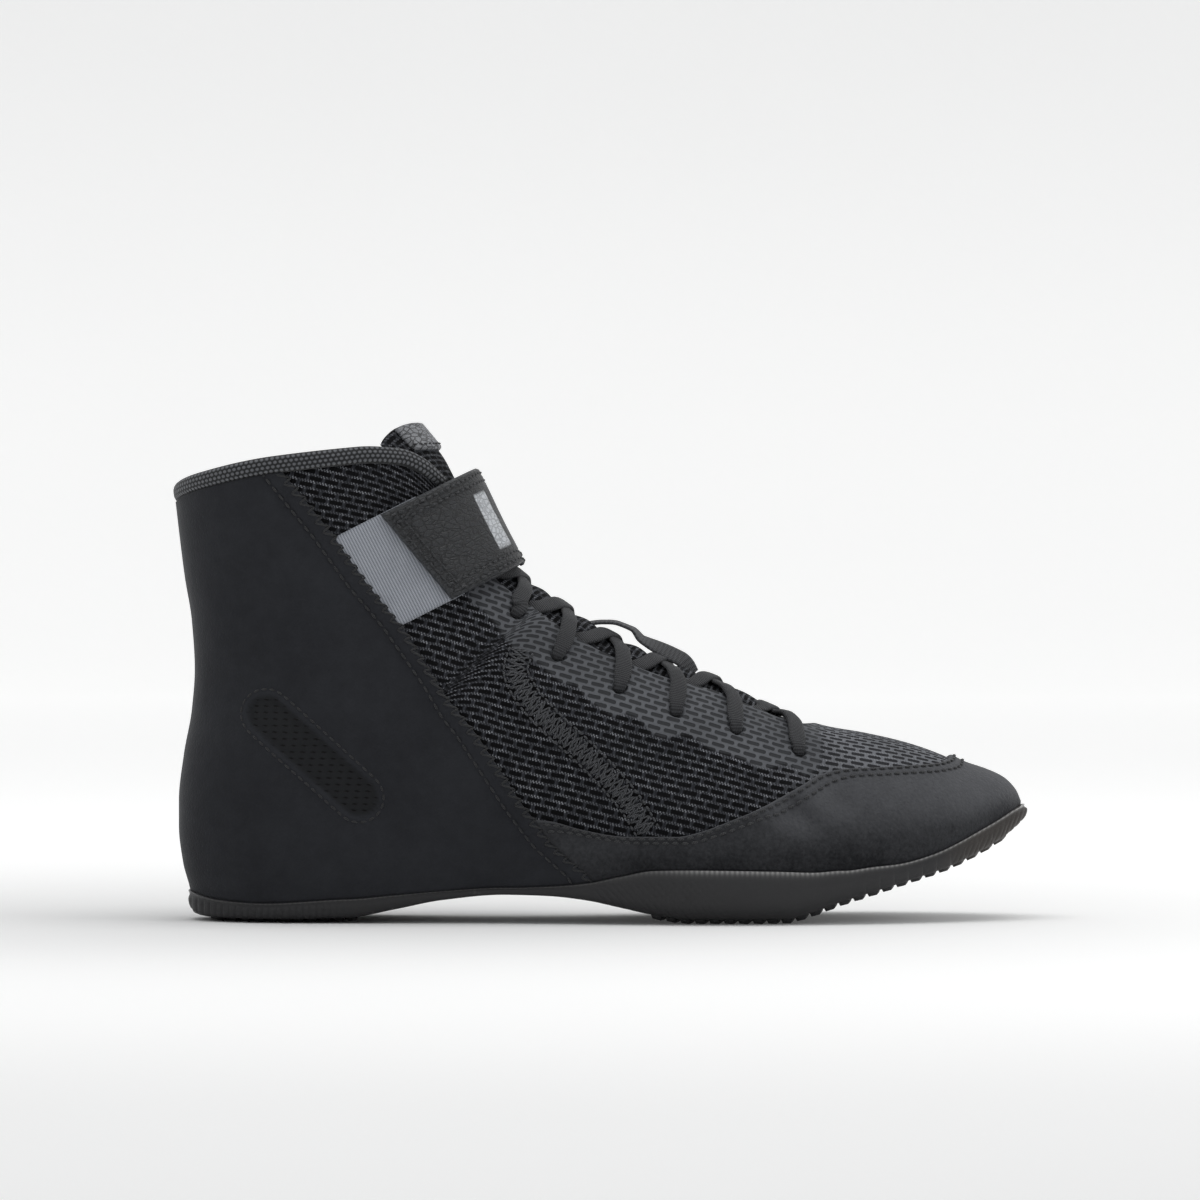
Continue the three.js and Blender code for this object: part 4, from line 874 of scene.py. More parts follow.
@dataclass(frozen=True)
class OpenKnit:
    """Knit of short dark slits in brick order, with a fused film where the mesh is marked.

    Row pitch and slit length are in millimetres on the cloth's plan. The slits are painted near
    black as shade. The bead crests carry painted highlights, with painted shade between them. The
    vamp's top is painted lighter.
    """

    name: str
    pitch: float = 2.5
    slit: float = 5.6
    ground: tuple[int, int, int] = (62, 64, 69)
    film: tuple[int, int, int] = (98, 100, 104)

    def build(self) -> bpy.types.Material:
        """Slits are rounded oblongs: a box distance in each cell of a brick grid."""
        g = Graph(self.name)
        u, v = g.cloth()
        sway = g.noise(60, 2) - 0.5
        row = (v + sway * 0.9) / self.pitch
        line = row.floor()
        odd = (line * 0.5).fract() * 2
        drift = g.noise(1.0, 0, 0.5, g.joined(line * 7.3, 0.0))
        cell = ((u + sway * 1.5) / self.slit + odd * 0.5 + drift * 0.25).fract() - 0.5
        film = g.mark("film")
        across = (row.fract() - 0.5).abs()
        ends = (cell.abs() - 0.3).top(0.0) * 2.6
        far = across * across + ends * ends * 1.6
        gap = 1 - far.step(0.045, 0.13)
        rib = across.step(0.18, 0.42)
        lively = g.noise(420, 2).step(0.3, 0.7)
        glint_beads = (((u + lively * 0.4) * (2 * math.pi / 1.05) + line * 2.1).sin() * 0.5 + 0.5) * (
            lively * 0.6 + 0.4)
        fibre = g.noise(2600, 2)
        mesh = 1 - film
        open_part = gap * (1 - film * 0.25)
        height = (1 - open_part) * 0.75 + glint_beads * (0.3 - film * 0.27) + fibre * (0.1 - film * 0.07)
        base = g.mix(film, tone(*self.ground), tone(*self.film))
        # painted highlight: bright glints on the bead crests along the ribs between the slit rows
        base = g.mix(glint_beads * glint_beads * rib * mesh, base, tone(168, 170, 176))
        # painted shade: darker between the beads
        base = g.mix((1 - glint_beads) * mesh * 0.6 + fibre * 0.25, base, tone(22, 23, 26))
        # painted light: the vamp's top towards the toe is painted lighter
        base = g.mix(g.mark("shading_and_wear") * mesh * 0.5, base, tone(150, 152, 157))
        # painted shade: the open slits are darkened nearly to black, a little less on the vamp's
        # top
        dark = g.mix(open_part * (0.96 - g.mark("shading_and_wear") * 0.12), base, tone(3, 3, 4))
        shade = g.noise(35, 2).step(0.35, 0.75)
        colour = g.mix(shade * 0.25, dark, tone(20, 21, 23))
        lining = g.mix(g.mark("inside"), colour, tone(26, 27, 29))
        normal = g.relief(height, 0.6)
        return g.finish(lining, 0.78 - film * 0.26 + fibre * 0.12, normal,
                        Specular_IOR_Level=0.13)


@dataclass(frozen=True)
class Nap:
    """Suede or nubuck: short nap in soft patches. It is painted lighter where light falls on top
    and darker as shade near the sole, and lighter along the heel seam.
    """

    name: str
    ground: tuple[int, int, int]
    raised: tuple[int, int, int]
    patch: float = 0.5
    grain: float = 0.25
    window: bool = False
    nap: float = 1500.0

    def build(self) -> bpy.types.Material:
        """Patches from wide noise, nap from fine noise, pores from small cells."""
        g = Graph(self.name)
        wide = g.noise(28, 4, 0.6).step(0.3, 0.72)
        middle = g.noise(190, 3, 0.65).step(0.28, 0.74)
        fine = g.noise(self.nap, 3, 0.7)
        pores = g.cells(900).step(0.05, 0.6)
        spread = (wide - 0.5) * self.patch + (middle - 0.5) * (self.patch * 0.6)
        # painted light and shade from a mark: upward-facing nubuck lighter, nubuck near the sole
        # darker; suede lighter along the heel seam
        part = (spread + fine * 0.7 + 0.1) * 0.6 + g.mark("shading_and_wear") * 0.55
        colour = g.mix(part, tone(*self.ground), tone(*self.raised))
        edge = g.mark("edge")
        colour = g.mix(edge * (0.35 + fine * 0.5), colour, tone(*self.raised))
        height = fine * 0.55 + pores * 0.2 + middle * (self.patch * 0.7)
        rough = 0.86 + fine * 0.1
        if self.window:
            u, v = g.cloth()
            net = g.mark("window")
            row = v / 2.2
            cell = (u / 3.4 + (row.floor() * 0.5).fract()).fract() - 0.5
            hole = 1 - ((row.fract() - 0.5).abs() * 1.4 + cell.abs() * 0.8).step(0.16, 0.34)
            # painted shade: the holes of the vent's net are painted near black
            colour = g.mix(net, colour, g.mix(hole, tone(30, 31, 33), tone(9, 9, 10)))
            height = height * (1 - net) + (1 - hole) * net
        normal = g.relief(height, self.grain)
        return g.finish(colour, rough, normal, Sheen_Weight=0.1, Sheen_Roughness=0.4,
                        Specular_IOR_Level=0.25)


@dataclass(frozen=True)
class GrainLeather:
    """Embossed leather: small flat cells with creases between them and a soft sheen."""

    name: str
    ground: tuple[int, int, int] = (42, 44, 47)

    def build(self) -> bpy.types.Material:
        """Cells from the distance to cell borders at two sizes, over wide unevenness.

        Where the patch is marked lies a plain pale print, rubbed so that the grain shows through.
        """
        g = Graph(self.name)
        u, v = g.cloth()
        where = g.joined(u * 0.62, v)
        coarse = g.cells(0.62, "DISTANCE_TO_EDGE", where).step(0.0, 0.16)
        small = g.cells(1.9, "DISTANCE_TO_EDGE", where).step(0.0, 0.2)
        wide = g.noise(90, 3)
        height = coarse * 0.6 + small * 0.25 + wide * 0.5
        # painted shade: darker in the creases between the grain cells
        colour = g.mix(1 - coarse * 0.7 - small * 0.2, tone(*self.ground), tone(18, 19, 21))
        colour = g.mix(g.mark("edge") * 0.6, colour, tone(70, 72, 75))
        patch = g.mark("patch")
        print_tone = g.mix((1 - coarse) * 0.5 + g.noise(700, 3).step(0.5, 0.8) * 0.3,
                           tone(206, 209, 213), tone(118, 121, 126))
        colour = g.mix(patch, colour, print_tone)
        normal = g.relief(height, 0.5)
        return g.finish(colour, 0.4 + wide * 0.16 + patch * 0.1, normal, Specular_IOR_Level=0.5)


@dataclass(frozen=True)
class Weave:
    """Narrow woven goods: ribs along or across the band with threads over them."""

    name: str
    ground: tuple[int, int, int]
    light: tuple[int, int, int]
    rib: float = 0.9
    thread: float = 0.45
    across: bool = False
    shine: float = 0.3
    depth: float = 0.22

    def build(self) -> bpy.types.Material:
        """Product of two waves: ribs one way and threads the other."""
        g = Graph(self.name)
        u, v = g.cloth()
        first, second = (u, v) if self.across else (v, u)
        ribs = (first * (2 * math.pi / self.rib)).sin() * 0.5 + 0.5
        odd = (first / self.rib).floor() * math.pi
        twill = (second * (2 * math.pi / self.thread) + odd).sin() * 0.5 + 0.5
        fuzz = g.noise(1800, 2)
        height = ribs * 0.55 + twill * 0.35 + fuzz * 0.2
        # painted light and shade: colour follows the relief, lighter on rib and thread crests,
        # darker in the grooves
        colour = g.mix(ribs * 0.5 + twill * 0.35 + fuzz * 0.2,
                       tone(*self.ground), tone(*self.light))
        dirt = g.noise(60, 3).step(0.4, 0.8)
        colour = g.mix(dirt * 0.18, colour, tone(*self.ground))
        normal = g.relief(height, self.depth)
        return g.finish(colour, 0.82 - fuzz * 0.2, normal, Sheen_Weight=self.shine,
                        Sheen_Roughness=0.4, Specular_IOR_Level=0.35)


@dataclass(frozen=True)
class DottedKnit:
    """Thick binding knit: staggered round bumps, one in each cell of its plan."""

    name: str
    pitch: float = 1.75

    def build(self) -> bpy.types.Material:
        """Bumps fall off with the distance from each cell's middle."""
        g = Graph(self.name)
        u, v = g.cloth()
        row = v / (self.pitch * 0.8)
        cell = (u / self.pitch + (row.floor() * 0.5).fract()).fract() - 0.5
        middle = row.fract() - 0.5
        bump = 1 - (cell * cell + middle * middle).step(0.02, 0.2)
        fibre = g.noise(2200, 2)
        # painted light and shade: bump tops painted light, the hollows between them near black
        colour = g.mix(bump * 0.8 + fibre * 0.2, tone(6, 7, 8), tone(106, 108, 112))
        normal = g.relief(bump * 0.8 + fibre * 0.2, 0.5)
        return g.finish(colour, 0.85, normal, Sheen_Weight=0.15, Specular_IOR_Level=0.3)


@dataclass(frozen=True)
class MouldedRubber:
    """Moulded rubber: faint flow marks and fine grit, a glossy lip with a painted beaded highlight,
    and a browner toe.
    """

    name: str

    def build(self) -> bpy.types.Material:
        """Gloss and a painted beaded highlight follow the lip mark; the warm tint follows the toe
        mark; scuffs come from noise.
        """
        g = Graph(self.name)
        grit = g.noise(1400, 3, 0.6)
        wide = g.noise(45, 3)
        lip, toe = g.mark("lip"), g.mark("toe")
        u, _ = g.cloth()
        glint_beads = (u * (2 * math.pi / 1.7)).sin() * 0.5 + 0.5
        colour = g.mix(wide * 0.5, tone(31, 31, 33), tone(44, 44, 45))
        colour = g.mix(toe * 0.8, colour, tone(58, 53, 49))
        # painted highlight: a bright beaded line along the lip
        colour = g.mix(lip * lip * (glint_beads * 0.5 + 0.3), colour, tone(150, 149, 148))
        scuff = g.noise(420, 4, 0.7).step(0.6, 0.72) * g.mark("ground")
        colour = g.mix(scuff * 0.45, colour, tone(92, 90, 88))
        normal = g.relief(grit * 0.5 + wide * 0.5 + glint_beads * lip * 1.4, 0.12)
        rough = 0.56 - lip * 0.3 + grit * 0.12
        return g.finish(colour, rough, normal, Specular_IOR_Level=0.5, Coat_Weight=lip * 0.5)


@dataclass(frozen=True)
class Thread:
    """Twisted sewing thread."""

    name: str
    ground: tuple[int, int, int] = (36, 37, 39)

    def build(self) -> bpy.types.Material:
        """Twist as slanting waves on the stitch's own plan."""
        g = Graph(self.name)
        u, v = g.cloth()
        twist = ((u * 9 + v * 4).sin() * 0.5 + 0.5)
        # painted shade: darker in the grooves of the twist
        colour = g.mix(twist, tone(18, 18, 20), tone(*self.ground))
        return g.finish(colour, 0.6 + twist * 0.15, g.relief(twist, 0.08), Sheen_Weight=0.1)


@dataclass(frozen=True)
class Lining:
    """Brushed lining cloth of the sock and the strap's closing patch."""

    name: str
    ground: tuple[int, int, int] = (27, 28, 30)

    def build(self) -> bpy.types.Material:
        """Fine loops from small cells over soft patches."""
        g = Graph(self.name)
        loops = g.cells(1100).step(0.1, 0.7)
        wide = g.noise(70, 3)
        colour = g.mix(loops * 0.6 + wide * 0.3, tone(*self.ground), tone(46, 47, 50))
        return g.finish(colour, 0.92 - wide * 0.08, g.relief(loops, 0.3), Sheen_Weight=0.3,
                        Sheen_Roughness=0.5)


# ---------------------------------------------------------------- pieces


RIM_GAP = 0.7
PANEL_BASE = 0.3

EYELETS = np.array([
    (0.350, 0.803), (0.398, 0.708), (0.446, 0.611), (0.518, 0.537), (0.584, 0.483),
    (0.654, 0.443), (0.727, 0.392),
]) * (Form.length, Form.height)

PANEL_FRONT = np.array([
    (0.485, 0.108), (0.442, 0.178), (0.404, 0.275), (0.384, 0.336), (0.353, 0.430),
    (0.315, 0.520), (0.267, 0.671), (0.226, 0.772), (0.185, 0.886), (0.130, 1.020),
    (0.095, 1.120),
]) * (Form.length, Form.height)

GUARD_TOP = np.array([
    (0.400, 0.240), (0.435, 0.235), (0.476, 0.215), (0.524, 0.201), (0.584, 0.201),
    (0.613, 0.213), (0.644, 0.235), (0.682, 0.266), (0.729, 0.314), (0.750, 0.336),
    (0.777, 0.347), (0.829, 0.351), (0.884, 0.356), (0.903, 0.364), (0.920, 0.420),
]) * (Form.length, Form.height)

FILM_EDGE = np.array([
    (100, 110), (105, 105), (116, 94), (123, 87), (136, 81), (141, 74), (153, 71), (162, 65),
    (174, 63), (183.5, 60), (191, 55), (206, 53), (214, 51), (222, 56),
])


def panel_front(z: Graded) -> Array:
    """Front edge of the heel panel at height z."""
    return np.interp(z, PANEL_FRONT[:, 1], PANEL_FRONT[:, 0])


class Creased(Form):
    """The form with soft creases where the foot bends.

    A crease is a trough along a line of the side view with a low ridge beside it. Its depth
    falls off with the square of the distance, and towards both ends.
    """

    creases = (
        # from x, z to x, z in mm; width, depth; side, or 0 for both
        (96, 92, 118, 66, 5.0, 1.1, 0), (104, 80, 128, 52, 5.5, 0.9, 0),
        (84, 84, 100, 58, 6.0, 0.8, 1), (196, 52, 214, 34, 5.0, 0.9, 0),
        (214, 54, 230, 38, 4.5, 0.7, 0), (150, 66, 172, 50, 6.0, 0.7, -1),
        (20, 112, 52, 96, 8.0, 0.8, 0), (12, 74, 46, 84, 9.0, 0.7, -1),
        (60, 40, 96, 30, 9.0, 0.7, -1), (150, 46, 176, 34, 6.5, 0.6, 1),
    )

    def push(self, x: Array, z: Array, half: Array, side: Graded) -> Array:
        """Outward offset of the creases in mm; none where the form is narrow."""
        total = np.zeros(np.broadcast(x, side).shape)
        for x0, z0, x1, z1, width, depth, only in self.creases:
            dx, dz = x1 - x0, z1 - z0
            size = math.hypot(dx, dz)
            run = ((x - x0) * dx + (z - z0) * dz) / size
            off = ((x - x0) * dz - (z - z0) * dx) / size
            end = np.exp(-(np.maximum(np.abs(run - size / 2) - size / 4, 0) / (size / 3)) ** 2)
            fold = -np.exp(-(off / width) ** 2) + 0.7 * np.exp(-((off - 1.7 * width) / width) ** 2)
            share = 1.0 if only == 0 else (np.asarray(side) == only) * 1.0
            total = total + depth * end * fold * share
        return total * smooth(9, 22, half)

    def surface(self, station: Graded, share: Graded, side: Graded) -> Array:
        """Points of the form with its creases."""
        out = super().surface(station, share, side)
        half = np.abs(out[..., 1] - self.middle(out[..., 0], out[..., 2]))
        out[..., 1] += side * self.push(out[..., 0], out[..., 2], half, side)
        return out

    def side_point(self, x: Graded, z: Graded, side: int) -> Array:
        """Point of the creased form over a point of the side view."""
        out = super().side_point(x, z, side)
        half = np.abs(out[..., 1] - self.middle(out[..., 0], out[..., 2]))
        out[..., 1] += side * self.push(out[..., 0], out[..., 2], half, side)
        return out


def to_line(x: Array, z: Array, line: Array) -> Array:
    """Distance in the side view to a line of points."""
    a, b = line[:-1], line[1:]
    run = b - a
    p = np.stack([x, z], -1)[..., None, :] - a
    part = np.clip(np.sum(p * run, -1) / np.sum(run * run, -1), 0, 1)
    return np.min(np.linalg.norm(p - part[..., None] * run, axis=-1), -1)


def hump(distance: Graded, width: float) -> Array:
    """Bell of height 1 round zero."""
    return np.exp(-(np.asarray(distance) / width) ** 2)


def rounded(distance: Array, thick: float, over: float = 1.2) -> Array:
    """Thickness that starts at a fifth at an edge and rounds up to full over a distance."""
    return thick * (0.2 + 0.8 * quarter(distance / over, 2.0))


def from_edge(grid: Array) -> Array:
    """Distance of each point of a grid from its first row, along its columns."""
    steps = np.linalg.norm(np.diff(grid, axis=0), axis=-1)
    return np.concatenate([np.zeros((1, grid.shape[1])), np.cumsum(steps, 0)])


def inset(grid: Array, normals: Array, distance: float) -> tuple[Array, Array]:
    """Line on a grid at a distance from its first row, with its directions."""
    run = from_edge(grid)
    line, out = [], []
    rows = np.arange(len(grid))
    for k in range(grid.shape[1]):
        at = np.interp(distance, run[:, k], rows)
        line.append([np.interp(at, rows, grid[:, k, a]) for a in range(3)])
        out.append([np.interp(at, rows, normals[:, k, a]) for a in range(3)])
    return np.array(line), unit(np.array(out))


def turned(grid: Array, quarter_turns: int) -> Array:
    """The grid with another of its sides as the first row: 0 top, 1 end, 2 left, 3 right."""
    if quarter_turns < 2:
        return grid[::-1] if quarter_turns else grid
    return np.swapaxes(grid[:, ::-1] if quarter_turns == 3 else grid, 0, 1)


def stitched(grid: Array, normals: Array, distance: float, trim: int, *shape: float) -> Sheet:
    """Running stitch along a grid's first row at a distance from it.

    Args:
        grid: points.
        normals: directions out of the cloth.
        distance: place of the row.
        trim: points left out at both ends.
        shape: stitch length, gap and radius.

    Returns:
        The stitches.
    """
    line, up = inset(grid, normals, distance)
    keep = slice(trim, len(line) - trim)
    return running_stitch(line[keep], up[keep], *shape)


@dataclass
class Upper:
    """Hollow knit body with its wall, open at collar, throat and underneath."""

    form: Creased
    shop: Workshop
    columns: int = 92
    hole: float = 2.3

    def stations(self) -> Array:
        """Stations of the rows, closer together beside the eyelets."""
        return np.concatenate([
            np.linspace(0, 1, 34)[:-1] - 1,
            np.linspace(30, 111, 130)[:-1],
            np.linspace(111, 180, 66)])

    def half(self, side: Side) -> Sheet:
        """One side of the outer face with its plan, film and eyelet pits."""
        form = self.form
        share = np.linspace(0, 1, self.columns) ** 1.25
        rows = self.stations()[:, None]
        top = form.collar_station(share)[None]
        station = np.where(rows < 0, top + (30 - top) * (rows + 1), rows)
        opening = form.throat_share(station)
        points = form.surface(station, opening + (1 - opening) * share, side.value)
        x, z = points[..., 0], points[..., 2]
        lean = math.radians(14)
        turned = z * math.cos(lean) + x * math.sin(lean)
        steps = np.hypot(np.diff(turned, axis=1), np.diff(points[..., 1], axis=1))
        down = np.concatenate([np.zeros((len(x), 1)), np.cumsum(steps, 1)], 1)
        plan = np.stack([x * math.cos(lean) - z * math.sin(lean),
                         turned[:, -1:] + down[:, -1:] - down], -1)
        edge = np.interp(x, FILM_EDGE[:, 0], FILM_EDGE[:, 1]) + 1.3 * np.sin(x * math.pi / 8.5)
        film = smooth(-0.6, 0.6, z - edge) * smooth(99, 101, x) * (1 - smooth(219, 221, x))
        spot = np.full(x.shape, 99.0)
        for ex, ez in EYELETS:
            at = form.side_point(ex, ez, side.value)
            spot = np.minimum(spot, np.linalg.norm(points - at, axis=-1))
        pit = 1 - smooth(self.hole - 0.7, self.hole + 0.5, spot)
        # painted light: the knit is marked to be painted lighter over the vamp's top towards the
        # toe
        return Sheet.grid(points, plan, side is Side.INNER,
                          {"film": film, "pit": pit, "rim": np.exp(-((spot - 3.3) / 0.7) ** 2),
                           "shading_and_wear": smooth(196, 236, x + (z - 50) * 0.6)})

    def build(self) -> None:
        """Both sides joined down the back and over the toe, with the wall inside."""
        sheet = Sheet.join(*[self.half(side) for side in BOTH], weld=0.004)
        pit, rim = sheet.marks["pit"], sheet.marks.pop("rim")
        high = -1.9 * pit + 0.25 * rim
        self.shop.piece("knit_upper", sheet.thick(-self.form.wall, high),
                        OpenKnit("open_knit").build(), "knit", ["upper"])


@dataclass
class HeelPanel:
    """Suede panel that wraps heel and shaft, with a plain vent slot on each side."""

    form: Creased
    shop: Workshop
    rows: int = 150
    half_columns: int = 112
    vent: tuple[float, ...] = (32.0, 71.0, 63.0, 43.0, 6.2)
    seam_inset: float = 6.6
    stitch_lift: float = 1.55

    def grid(self) -> Array:
        """Points from bottom to top by places from the outer front edge round the heel."""
        form = self.form
        share = np.linspace(0, 1, 160)
        station = form.collar_station(share)
        collar = form.surface(station, form.throat_share(station) * (1 - share) + share, -1)
        collar = collar[np.argsort(collar[:, 0])]
        t = np.linspace(0, 1, self.rows)[:, None]

        def level(x: Array) -> Array:
            """Height at x for each row, between the sole's top edge and the collar."""
            return (form.rim(x) + RIM_GAP) * (1 - t) + np.interp(x, collar[:, 0], collar[:, 2]) * t

        front, back = np.full(t.shape, 80.0), np.zeros(t.shape)
        for _ in range(60):
            front = front * 0.5 + panel_front(level(front)) * 0.5
            back = back * 0.5 + form.back(level(back)) * 0.5
        a = 1 - np.linspace(0, 1, self.half_columns) ** 1.15
        a = np.concatenate([[1, 0.9975, 0.994, 0.989], a[a < 0.986]])
        x = back + (front - back) * (1 - np.cos(a * math.pi / 2))
        outer, inner = (form.side_point(x, level(x), side) for side in (-1, 1))
        return np.concatenate([outer, inner[:, ::-1][:, 1:]], 1)

    def vent_stitches(self) -> list[Sheet]:
        """Stitches round the vent slot of each side."""
        x0, z0, x1, z1, radius = self.vent
        run, reach = math.hypot(x1 - x0, z1 - z0), radius + 2.3
        ax, az = (x1 - x0) / run, (z1 - z0) / run
        turn = np.linspace(-math.pi / 2, math.pi / 2, 40)
        arc = np.stack([np.cos(turn), np.sin(turn)], 1) * reach
        outline = np.concatenate([arc + (run, 0), -arc, arc[:1] + (run, 0)])
        outline = pick(outline, along(outline, 0.5)[0])
        x = x0 + ax * outline[:, 0] - az * outline[:, 1]
        z = z0 + az * outline[:, 0] + ax * outline[:, 1]
        rows = []
        for side in (-1, 1):
            line, up = self.form.side_point(x, z, side), self.form.side_normal(x, z, side)
            rows.append(running_stitch(line + up * self.stitch_lift, up, 2.2, 0.8, 0.36))
        return rows

    def build(self) -> None:
        """The panel, its vents, the groove of its back seam and its stitches."""
        grid = self.grid()
        x, z = grid[..., 0], grid[..., 2]
        run = from_edge(turned(grid, 2)).T
        edge = np.minimum(run, run[:, -1:] - run)
        seam = np.abs(run - run[:, [grid.shape[1] // 2]])
        x0, z0, x1, z1, radius = self.vent
        vent = to_line(x, z, np.array([(x0, z0), (x1, z1)])) - radius
        deep = 1 - smooth(-0.5, 0.5, vent)
        lip = hump(vent - 1.3, 0.9)
        high = PANEL_BASE + rounded(edge, self.form.leather) - 0.95 * deep + 0.22 * lip
        high = high - 0.5 * hump(seam, 0.55) + 0.3 * hump(seam - 1.8, 1.2)
        high = high - 0.35 * hump(edge - self.seam_inset, 0.6)
        marks = {"edge": hump(edge, 0.7) * 0.7 + lip * 0.25 * (1 - deep), "window": deep,
                 "shading_and_wear": 0.25 * hump(seam, 9)}
        sheet = Sheet.facing(grid, np.stack([run, z], -1), marks, 0, -1)
        normals = sheet.normals().reshape(grid.shape)
        self.shop.piece("suede_heel", sheet.thick(0.1, high.ravel()),
                        Nap("suede", (30, 31, 35), (52, 54, 58), 0.4, 0.25, True).build(),
                        "suede", ["heel_panel"])
        rows = []
        top = grid + normals * self.stitch_lift
        for end in (2, 3):
            face, out = turned(top, end), turned(normals, end)
            rows.append(stitched(face, out, self.seam_inset, 0, 2.6, 0.8, 0.4))
            near, _ = inset(face, out, 2.6)
            off = face[0] + unit(face[0] - face[4]) * 1.2 - out[0] * 0.9
            rows.append(zigzag(near, off, out[0], 2.1, 0.42))
        self.shop.piece("suede_stitches", Sheet.join(*rows, *self.vent_stitches()),
                        Thread("dark_thread").build(), "suede")


@dataclass
class ToeGuard:
    """Nubuck guard round the toe, with a double row of stitches under its top edge."""

    form: Creased
    shop: Workshop
    rows: int = 60
    half_columns: int = 200
    rear: float = 137.0
    seams: tuple[float, ...] = (1.7, 5.0)

    def grid(self) -> Array:
        """Points from the top edge to the sole by places from the outer rear round the toe.

        Both edges are set out by station and share of the section, and the rows between are
        straight blends of the two.
        """
        form = self.form
        fine = spline(GUARD_TOP, 900)
        crest = form.crest_reach(form.station_of(fine[:, 0], fine[:, 1]))
        over = form.reach_of(fine[:, 0], fine[:, 1]) < crest + 0.02
        edge = fine[:int(np.argmax(over))] if over.any() else fine
        q = np.linspace(0, 1, self.half_columns)
        top = pick(edge, (1 - (1 - q) ** 1.35) * (len(edge) - 1))
        bx = self.rear + (form.tip - self.rear) * np.sin(q * math.pi / 2)
        bz = form.rim(bx) + RIM_GAP
        s0, s1 = form.station_of(top[:, 0], top[:, 1]), form.station_of(bx, bz)
        h0 = form.share_of(top[:, 0], top[:, 1]) * (1 - smooth(0.985, 1, q))
        h1 = form.share_of(bx, bz) * (1 - smooth(0.95, 1, q))
        t = (np.linspace(0, 1, self.rows) ** 1.3)[:, None]
        station, share = s0 + (s1 - s0) * t, h0 + (h1 - h0) * t
        outer, inner = (form.surface(station, share, side) for side in (-1, 1))
        return np.concatenate([outer, inner[:, ::-1][:, 1:]], 1)

    def build(self) -> None:
        """The guard and its stitches."""
        grid = self.grid()
        edge, side = from_edge(grid), from_edge(turned(grid, 2)).T
        x, z = grid[..., 0], grid[..., 2]
        under = smooth(-0.6, 1.4, x - panel_front(z))
        high = PANEL_BASE + rounded(edge, self.form.leather) * (0.35 + 0.65 * under)
        for distance in self.seams:
            high = high - 0.22 * hump(edge - distance, 0.5)
        sheet = Sheet.facing(grid, np.stack([side, edge], -1), {}, 0)
        normals = sheet.normals().reshape(grid.shape)
        # painted top light: upward-facing nubuck is made lighter, lighter too towards the toe
        # front; painted shade: darker near the sole
        shading_and_wear = 0.8 * smooth(0.05, 0.6, normals[..., 2]) * smooth(150, 215, x)
        shading_and_wear = shading_and_wear + 0.16 * smooth(225, 262, x) - 0.34 * (
            1 - smooth(1, 13, z - self.form.rim(x))) * (1 - 0.5 * smooth(235, 270, x))
        sheet.marks = {"edge": hump(edge, 0.6).ravel() * 0.8, "shading_and_wear": shading_and_wear.ravel()}
        self.shop.piece("nubuck_guard", sheet.thick(0.1, high.ravel()),
                        Nap("nubuck", (20, 21, 24), (88, 89, 92), 0.22, 0.5, nap=760.0).build(),
                        "nubuck", ["toe_guard"])
        top = grid + normals * (PANEL_BASE + self.form.leather - 0.1)
        rows = []
        for distance in self.seams:
            line, up = inset(top, normals, distance)
            keep = line[:, 0] > panel_front(line[:, 2]) + 1
            rows.append(running_stitch(line[keep], up[keep], 2.5, 0.8, 0.46))
        self.shop.piece("nubuck_stitches", Sheet.join(*rows),
                        Thread("grey_thread", (56, 57, 59)).build(), "nubuck")


@dataclass
class Collar:
    """Thick knit binding round the collar."""

    form: Creased
    shop: Workshop
    width: float = 4.9
    height: float = 6.0
    half_count: int = 240

    def build(self) -> None:
        """A roll along the upper's top edge from one side of the throat to the other."""
        form = self.form
        half = np.linspace(0, 1, self.half_count)
        share = np.concatenate([half, half[::-1][1:]])
        side = np.where(np.arange(len(share)) < self.half_count, -1.0, 1.0)
        station = form.collar_station(share)
        down = form.throat_share(station)
        down = down + (1 - down) * share
        at = form.surface(station, down, side)
        up = unit(form.surface(station - 2, down, side) - at)
        out = unit(np.cross(up, unit(np.gradient(at, axis=0))))
        out = out * np.where(out[:, 1] * side < 0, -1, 1)[:, None]
        heel = (np.abs(out[:, 1]) < 0.2) & (out[:, 0] > 0) & (share > 0.9)
        out[heel] *= -1
        centre = at + out * (0.9 - form.wall / 2) + up * (self.height / 2 - 0.1)
        front = smooth(0, 0.08, share)
        roll = ribbon(centre, out, self.height * (0.72 + 0.28 * front),
                      self.width * (0.8 + 0.2 * front), 0.85, 20)
        self.shop.piece("knit_binding", roll, DottedKnit("binding_knit").build(), "binding",
                        ["collar_binding"])


